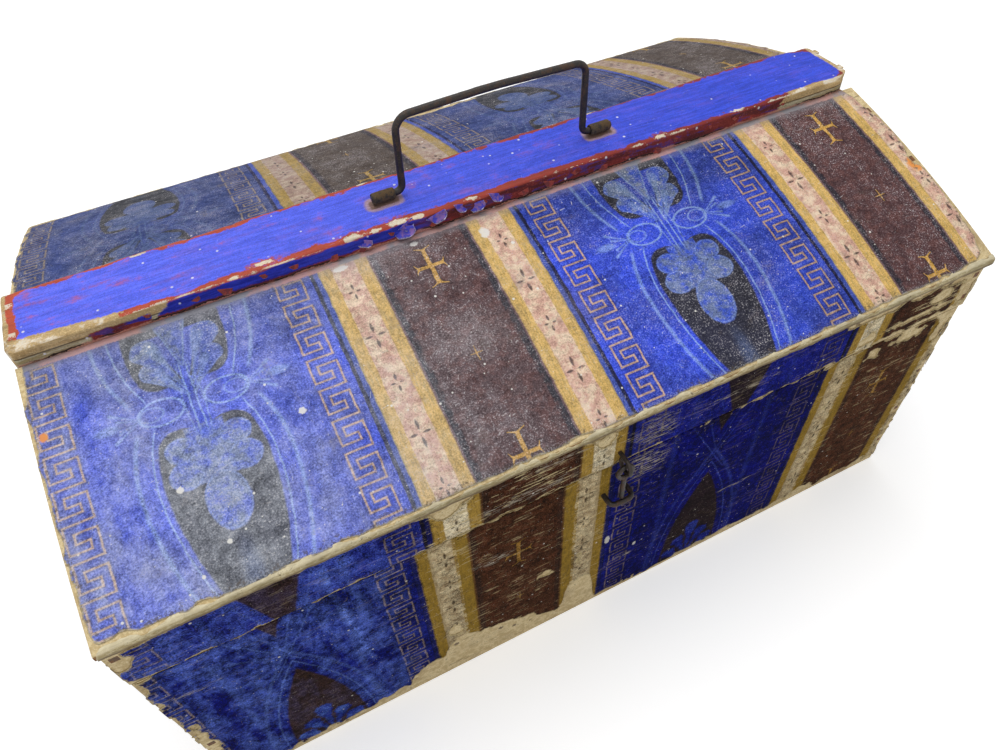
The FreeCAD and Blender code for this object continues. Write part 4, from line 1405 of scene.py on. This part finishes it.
def fibre_look():
    """Bare worn paper and cloth fibre on the lid's edge, painted darker towards its foot as shade mixed with grime.
    """
    look, r, shader = new_look("worn_eave_fibre")
    at = r.object_mm()
    drawn = r.vector("MULTIPLY", at, (0.16, 1.0, 1.0))
    strand = r.noise(drawn, 0.7, 3.0, 0.7)
    lump = r.noise(at, 2.6, 5.0, 0.7)
    blotch = r.noise(at, 22.0, 4.0, 0.6)
    colour = r.blend(lump.above(0.5, 0.08), (216, 202, 162), (186, 168, 124))
    colour = r.blend(strand.above(0.56, 0.06) * 0.6, colour, (140, 122, 84))
    colour = r.blend(blotch.above(0.53, 0.07) * 0.5, colour, (128, 116, 84))
    colour = r.blend(lump.below(0.36, 0.04) * 0.8, colour, (92, 74, 52))
    colour = r.blend(strand.below(0.38, 0.04) * 0.5, colour, (232, 224, 196))
    height = r.split(at)[2] + (lump - 0.5) * 2.0
    # Painted shade under the eave's nose, mixed with brown grime: darker on the nose's lower half and underside.
    colour = r.blend(height.below(eave_top * 1000 - 2.2, 0.7) * 0.75, colour, (104, 84, 58))
    colour = r.blend(height.above(eave_top * 1000 + 0.1, 0.5) * 0.5, colour, (232, 222, 192))
    relief = strand * 0.5 + lump * 0.5
    surface(r, shader, colour, 0.7 + lump * 0.2, relief, 0.35, level=0.3)
    return look


def iron_look(name, dark, brown, rust, rusty, rough, pit):
    """Wrought iron under dark oxide; rusty is how much loose rust lies on it, 0 to 1."""
    look, r, shader = new_look(name)
    at = r.object_mm()
    scale = r.noise(at, 2.4, 5.0, 0.7)
    fine = r.noise(at, 0.45, 3.0, 0.7)
    broad = r.noise(at, 9.0, 3.0, 0.6)
    colour = r.blend(scale.above(0.5, 0.1), dark, brown)
    rust_at = (scale * 0.5 + broad * 0.5).above(0.58 - 0.16 * rusty, 0.05)
    colour = r.blend(rust_at * (0.35 + 0.5 * rusty), colour, rust)
    colour = r.blend(fine.above(0.64, 0.05) * 0.45, colour, (138, 112, 80))
    near, number = r.dots(at, 1.5)
    hole = near.below(0.22, 0.12) * number.above(0.55, 0.05)
    colour = r.blend(hole * 0.6, colour, (22, 16, 13))
    relief = scale * 0.45 + fine * 0.3 - hole * 0.5
    surface(r, shader, colour, rough + scale * 0.25 + rust_at * 0.15, relief, pit, metal=0.25, level=0.5)
    return look


wire_look = iron_look("dark_oxide_wire", (28, 24, 23), (46, 37, 31), (90, 60, 40), 0.18, 0.36, 0.2)
sheet_look = iron_look("rusty_sheet_iron", (46, 38, 30), (84, 72, 52), (98, 74, 48), 0.5, 0.66, 0.4)
nail_look = iron_look("rusty_nail_iron", (84, 66, 50), (120, 92, 66), (136, 84, 50), 0.5, 0.6, 0.25)


# Ridge: brushed blue over red ground over gesso over wood, worn through at the edges

sleeve_gap, sleeve_length = 0.0004, 0.0125
sleeve_outer = handle_wire / 2 + sleeve_play + sleeve_sheet
sleeve_near = {"left": handle_left - 0.0036 - sleeve_gap, "right": handle_right + 0.0036 + sleeve_gap}


def ridge_look(name):
    look, r, shader = new_look(name)
    at = r.object_mm()
    x, y, z = r.split(at)
    run = x + 225.5
    nx, ny, nz = object_normal(r)
    drawn = r.join(x * 0.1, y, z)
    brush = r.noise(drawn, 1.5, 4.0, 0.65)
    streak = r.noise(r.join(x * 0.16, y, z), 5.0, 4.0, 0.6)
    blotch = r.noise(at, 9.0, 5.0, 0.66)
    fine = r.noise(at, 0.7, 4.0, 0.72)
    broad = r.noise(at, 45.0, 3.0, 0.5)
    pale_end = r.step(run, 200.0, 190.0)
    blue = r.blend(pale_end, (48, 72, 206), (88, 104, 240))
    blue = r.blend(brush.above(0.55, 0.12) * 0.28, blue, r.blend(pale_end, (66, 92, 226), (114, 126, 246)))
    blue = r.blend(brush.below(0.41, 0.1) * 0.25, blue, r.blend(pale_end, (36, 54, 176), (70, 80, 214)))
    blue = r.blend(fine.below(0.4, 0.06) * 0.25, blue, r.blend(pale_end, (40, 56, 168), (78, 84, 196)))
    violet = (streak * 0.4 + broad * 0.3 + blotch * 0.3).above(0.54, 0.08) * (pale_end * 0.45 + 0.15)
    blue = r.blend(violet, blue, (126, 96, 184))
    red = r.blend(pale_end, (136, 48, 44), (192, 84, 58))
    red = r.blend(fine.above(0.55, 0.08) * 0.5, red, (98, 38, 40))
    gesso = r.blend(fine.above(0.5, 0.1), (232, 224, 206), (206, 186, 156))
    wood = r.blend(brush.above(0.5, 0.1), (206, 178, 128), (176, 146, 98))
    wood = r.blend(streak.above(0.58, 0.04) * 0.6, wood, (132, 110, 78))
    wood = r.blend(fine.above(0.62, 0.05) * 0.5, wood, (226, 208, 168))
    on_top = nz.above(0.55, 0.12)
    edge = r.stored("edge") * 1000.0
    worn = edge + (blotch - 0.5) * 9.0 + (streak - 0.5) * 7.0 + (fine - 0.5) * 1.6
    left_end = r.step(run, 8.0, 5.0)
    right_end = run.above(440.0, 6.0)
    worn = worn - left_end * 4.5 - right_end * 1.5
    near_top = on_top * y.below(0.0, 1.0)
    scuffed = near_top * abs(run - 185.0).below(80.0, 30.0)
    worn = worn - scuffed * 1.4
    on_blue = (streak * 0.35 + blotch * 0.65).above(0.6, 0.05) * (pale_end * 0.4 + 0.08)
    top = r.blend(on_blue, blue, red)
    top = r.blend(worn.below(2.4, 0.45), top, red)
    chip = (worn + scuffed * 2.2 + left_end * 3.2 + (fine - 0.5) * 3.0).below(-0.8, 0.3)
    line = (edge + (fine - 0.5) * 2.4).below(0.7, 0.3) * abs(run - 92.0).below(44.0, 4.0) * near_top
    line = line * (streak * 0.5 + blotch * 0.5).above(0.5, 0.03)
    top = r.blend(chip.either(line) * 0.95, top, gesso)
    ragged = (blotch - 0.5) * 9.0 + (fine - 0.5) * 2.5
    left_raw = (run + ragged * 2.5).below(46.0, 0.8) * (y + run * 0.1 + ragged * 0.8).below(-12.2, 0.4)
    right_raw = (run + ragged * 2.0).above(406.0, 0.8) * (y + ragged * 0.4).below(-17.0, 0.4)
    ends_raw = (run + ragged * 0.5).below(2.2, 0.4).either((run + ragged * 0.6).above(447.5, 0.5))
    raw = left_raw.either(right_raw).either(ends_raw)
    top = r.blend(raw, top, r.blend(blotch.above(0.54, 0.05), wood, gesso))
    chips = [(110.5, -15.8, 4.4, 1.2), (152, -18.2, 4.6, 1.7), (163, -18.6, 2.4, 1.3), (175, -18.0, 5.0, 2.0),
             (184, -18.6, 2.6, 1.2), (96, -18.8, 2.4, 0.9), (322, -18.2, 3.4, 1.2), (212, -18.2, 2.6, 0.9),
             (372, -18.4, 4.0, 1.0), (60, 18.2, 3.0, 0.8), (170, 19.0, 3.0, 0.7), (300, 19.0, 4.0, 0.8), (352, 19.2, 5.0, 0.6)]
    nibble = r.noise(at, 2.4, 5.0, 0.75)
    spots = near_blobs(r, run, y, nibble, chips, 4.0, 0.2)
    halo = near_blobs(r, run, y, nibble, [(cx, cy, w * 1.35 + 1.2, h * 1.5 + 0.8) for cx, cy, w, h in chips[:8]],
                      3.0, 0.2)
    top = r.blend(halo * 0.9, top, red)
    top = r.blend(spots * on_top, top, gesso)
    for label, way in (("left", -1), ("right", 1)):
        middle = (sleeve_near[label] + way * sleeve_length / 2) * 1000
        over = r.vector("LENGTH", r.join((abs(x - middle) - 6.0).either(0.0), (abs(y) - 2.0).either(0.0)))
        reach = over + (blotch - 0.5) * 4.0 + (fine - 0.5) * 1.2
        top = r.blend(reach.below(3.4, 0.9) * 0.75, top, (178, 146, 118))
        top = r.blend(reach.below(1.4, 0.7) * 0.8, top, (112, 84, 58))
    down = ridge_top * 1000.0 - z
    foot = down + (blotch - 0.5) * 4.0 + (fine - 0.5) * 1.5
    deep = r.blend(brush.above(0.5, 0.1), (30, 40, 158), (46, 58, 184))
    brick = r.blend(streak.above(0.5, 0.08), (128, 46, 42), (88, 32, 36))
    brick = r.blend(fine.above(0.62, 0.05) * 0.45, brick, (176, 96, 78))
    brick = r.blend((brush * 0.5 + blotch * 0.5).above(0.545, 0.025) * 0.75, brick, (62, 50, 124))
    blue_zone = (run + (streak - 0.5) * 60.0).above(52.0, 3.0) * (run + (streak - 0.5) * 90.0).below(186.0, 10.0)
    blue_zone = blue_zone * foot.below(6.6, 0.4) * ny.below(0.0, 0.1)
    side = r.blend(blue_zone, brick, deep)
    side = r.blend(foot.below(1.0, 0.4) * 0.8, side, red)
    side = r.blend((foot + (streak - 0.5) * 2.0).below(0.25, 0.2) * 0.7, side, gesso)
    tan = (run + ragged * 1.2 + down * 0.8).below(66.0, 0.8)
    torn_patch = abs(run + ragged - 45.0).below(13.0, 0.8) * (down + ragged * 0.4).above(3.6, 0.4)
    tan = (tan - torn_patch).either((run + ragged * 3.0).above(402.0, 1.5))
    tan = tan * ny.below(0.0, 0.1)
    split = abs(down - 4.9 + (streak - 0.5) * 1.2).below(0.35, 0.15)
    timber = r.blend((down + (blotch - 0.5) * 3.0).above(4.9, 0.4), wood, r.blend(brush.above(0.5, 0.1),
                     (196, 188, 158), (150, 134, 96)))
    timber = r.blend(split * 0.8, timber, (74, 56, 38))
    side = r.blend(tan, side, timber)
    # A near-black line just above the ridge's foot: painted shade in the crack under the lifted paint.
    shaded_crack = abs(down + (blotch - 0.5) * 5.0 + (fine - 0.5) * 1.6 - 7.9).below(0.42, 0.16)
    shaded_crack = shaded_crack * (streak + broad * 0.5).above(0.66, 0.03)
    side = r.blend(foot.above(7.6, 0.4) * 0.8, side, (186, 132, 116))
    side = r.blend(shaded_crack * 0.95, side, (20, 15, 16))
    ends = r.blend(abs(nx).above(0.6, 0.1), side, r.blend(blotch.above(0.5, 0.06), wood, gesso))
    colour = r.blend(on_top, ends, top)
    near, number = r.dots(at, 8.0)
    colour = r.blend((near - number * 0.05).below(0.045, 0.03) * 0.8, colour, (232, 230, 236))
    hair = scratches(r, run, y, 4, 0.7, 14.0, 0.735).either(scratches(r, run, y, 63, 0.7, 9.0, 0.745))
    colour = r.blend(hair * on_top * 0.5, colour, (170, 170, 240))
    pine = r.blend(brush.above(0.5, 0.1), (168, 128, 82), (126, 90, 56))
    colour = r.blend(nz.below(-0.5, 0.1), colour, pine)
    tone = (fine - 0.5) * 1.4 + (blotch - 0.5) * 0.6 + (brush - 0.5) * 0.8 + 1.0
    colour = r.blend(1.0, colour, tone, "MULTIPLY")
    relief = brush * 0.35 + fine * 0.25 + worn.above(1.6, 0.8) * 0.3 - spots * 0.2 - shaded_crack * 0.5
    surface(r, shader, colour, 0.5 + fine * 0.3, relief, 0.3, level=0.25)
    return look


def flake_look(name, face, under, back):
    """A lifted flake: paint, its coloured ground and a white gesso edge."""
    look, r, shader = new_look(name)
    at = r.object_mm()
    fine = r.noise(at, 0.8, 4.0, 0.7)
    patch = r.noise(at, 3.0, 4.0, 0.65)
    colour = r.blend(patch.above(0.52, 0.05), face, under)
    edge = r.stored("edge") + (fine - 0.5) * 0.5
    colour = r.blend(edge.below(0.12, 0.06) * 0.8, colour, back)
    surface(r, shader, colour, 0.55 + fine * 0.3, fine * 0.5 + patch * 0.5, 0.2, level=0.4)
    return look


# Dress the frame: every node gets its finish, and the pieces above take their nodes' places

boards = {
    "base_front_board": (0, (1, -1)), "base_back_board": (0, (1, 1)), "base_left_end": (1, (0, -1)),
    "base_right_end": (1, (0, 1)), "base_bottom_board": (0, None), "lid_front_rail": (0, (1, -1)),
    "lid_back_rail": (0, (1, 1)), "lid_left_end": (1, (0, -1)), "lid_right_end": (1, (0, 1)),
    "lid_front_panel": (0, (2, 1)), "lid_back_panel": (0, (2, 1)), "ridge_board": (0, (2, 1))}
for node, (grain, outward) in boards.items():
    look = board_look(node + "_pine", grain, outward)
    nodes[node].data.materials.clear()
    nodes[node].data.materials.append(look)
for node, made in nodes.items():
    if node in boards:
        continue
    look = nail_look if node.endswith("nails") else wire_look
    made.data.materials.clear()
    made.data.materials.append(look)

paint = ridge_look("brushed_ridge_paint")
nodes["ridge_nails"].data.materials.clear()
nodes["ridge_nails"].data.materials.append(paint)
for name, look, slot in (
        ("base_front_print", base_print, "face_paper"), ("base_back_print", base_print, "face_paper"),
        ("base_left_print", end_print, "end_paper"), ("base_right_print", end_print, "end_paper"),
        ("lid_left_print", end_print, "end_paper"), ("lid_right_print", end_print, "end_paper"),
        ("lid_front_rail_print", rail_print, "face_paper"), ("lid_back_rail_print", rail_print, "face_paper"),
        ("lid_front_print", lid_print, "lid_paper"), ("lid_back_print", lid_back_look, "lid_paper")):
    node = name.replace("_print", "_paper")
    if node in ("lid_front_paper", "lid_back_paper"):
        node = name.replace("_print", "_panel_paper")
    finished(sheets[name], name.split("_")[0], slot, look, node)
for node, (name, line, wire, body) in wires.items():
    finished(wire_piece(name, line, wire, len(name)), body, "wire_iron", wire_look, node)
finished(wire_piece("latch_hook_wire", hook_line(), hook_wire, 5), "hook", "wire_iron", wire_look, "latch_hook")
for label, side in (("left", -1), ("right", 1)):
    piece = sleeve_piece(f"handle_sleeve_rolled_{label}", side, sleeve_near[label], 151 + side)
    finished(piece, "lid", "sheet_iron", sheet_look, f"handle_sleeve_{label}")
finished(ridge_piece(), "lid", "ridge_paint", paint, "ridge_board")
fibre = fibre_look()
finished(eave_piece("eave_front_fibre", 1, 131), "lid", "lid_paper", fibre)
finished(eave_piece("eave_back_fibre", -1, 141), "lid", "lid_paper", fibre)

blue_flake = flake_look("lifted_blue_paint", (66, 66, 186), (132, 98, 170), (206, 196, 214))
red_flake = flake_look("lifted_red_ground", (150, 60, 52), (112, 48, 50), (186, 120, 104))
curled = scale_mesh("curled_scale", 1.2, 5.0, 2.2)
flat_scale = scale_mesh("flat_scale", 0.5, 3.0, 2.0)
lip_z = ridge_top - 0.0022
front = -ridge_half - 0.0001


def ridge_run(low, high, z, y=front):
    return [(x / 1000 - 0.2255, y, z) for x in np.linspace(low, high, 24)]


flakes = [
    ("ridge_blue_flakes", curled, ridge_run(160, 226, ridge_top - 0.0014), blue_flake, 7, (0.0022, 0.0058),
     (0.005, 0.0, 0.0012), ((1.25, 2.7, -0.4), (1.62, 3.6, 0.4)), 5),
    ("ridge_red_flakes", flat_scale, ridge_run(60, 400, ridge_top - 0.004), red_flake, 22, (0.0012, 0.0034),
     (0.004, 0.0, 0.0018), ((1.42, 2.8, -0.3), (1.58, 3.5, 0.3)), 8)]
for name, shape, line, look, count, size_range, spread, turns, seed in flakes:
    finished(strewn(name, shape, line, look, count, size_range, spread, turns, seed), "lid", "ridge_paint", look)
for shape in (curled, flat_scale):
    bpy.data.objects.remove(shape)


# Stage, light and camera

def seen(tree, strength, otherwise=0.0):
    """A strength for the camera and for what mirrors the stage, and another for its light."""
    ray = tree.nodes.new("ShaderNodeLightPath")
    share = ray.outputs["Is Camera Ray"]
    for kind in ("Is Glossy Ray", "Is Transmission Ray"):
        most = tree.nodes.new("ShaderNodeMath")
        most.operation = "MAXIMUM"
        tree.links.new(share, most.inputs[0])
        tree.links.new(ray.outputs[kind], most.inputs[1])
        share = most.outputs[0]
    scaled = tree.nodes.new("ShaderNodeMath")
    scaled.operation = "MULTIPLY_ADD"
    scaled.inputs[1].default_value = strength - otherwise
    scaled.inputs[2].default_value = otherwise
    tree.links.new(share, scaled.inputs[0])
    return scaled.outputs[0]


def stage():
    floor = new_piece("floor", [(-6, -6, 0), (6, -6, 0), (6, 6, 0), (-6, 6, 0)], [[0, 1, 2, 3]], smooth=False)
    look = bpy.data.materials.new("pale_floor")
    look.use_nodes = True
    tree = look.node_tree
    tree.nodes.clear()
    out = tree.nodes.new("ShaderNodeOutputMaterial")
    matt = tree.nodes.new("ShaderNodeBsdfDiffuse")
    matt.inputs["Color"].default_value = (0.80, 0.80, 0.80, 1)
    glow = tree.nodes.new("ShaderNodeEmission")
    both = tree.nodes.new("ShaderNodeAddShader")
    tree.links.new(seen(tree, 0.45), glow.inputs["Strength"])
    tree.links.new(matt.outputs[0], both.inputs[0])
    tree.links.new(glow.outputs[0], both.inputs[1])
    tree.links.new(both.outputs[0], out.inputs["Surface"])
    floor.data.materials.append(look)


def lamp(name, place, target, size, power):
    light = bpy.data.lights.new(name, "AREA")
    light.shape = "RECTANGLE"
    light.size, light.size_y = size
    light.energy = power
    made = bpy.data.objects.new(name, light)
    made.location = place
    made.rotation_euler = (Vector(target) - Vector(place)).to_track_quat("-Z", "Y").to_euler()
    bpy.context.scene.collection.objects.link(made)


def light_and_camera():
    world = bpy.data.worlds.new("studio")
    bpy.context.scene.world = world
    world.use_nodes = True
    world.node_tree.nodes["Background"].inputs["Color"].default_value = (1, 1, 1, 1)
    backdrop = world.node_tree.nodes["Background"]
    world.node_tree.links.new(seen(world.node_tree, 1.0, 0.5), backdrop.inputs["Strength"])
    lamp("large_soft_top", (-0.2, 0.35, 1.9), (0, 0, 0.1), (1.6, 1.3), 19)
    lamp("soft_front", (-0.9, -1.5, 1.2), (0, 0, 0.1), (1.2, 1.0), 3)
    camera = bpy.data.cameras.new("camera")
    camera.lens = 27.575
    camera.sensor_width = 36.0
    camera.clip_start = 0.01
    made = bpy.data.objects.new("camera", camera)
    right = Vector((0.89406, -0.44657, -0.03517)).normalized()
    back = -Vector((0.26607, 0.59257, -0.76031)).normalized()
    up = back.cross(right).normalized()
    right = up.cross(back).normalized()
    made.matrix_world = Matrix.Translation((-0.13005, -0.30227, 0.45614)) @ Matrix(
        ((right.x, up.x, back.x), (right.y, up.y, back.y), (right.z, up.z, back.z))).to_4x4()
    bpy.context.scene.collection.objects.link(made)
    bpy.context.scene.camera = made
    bpy.context.scene.view_settings.view_transform = "Standard"


stage()
light_and_camera()
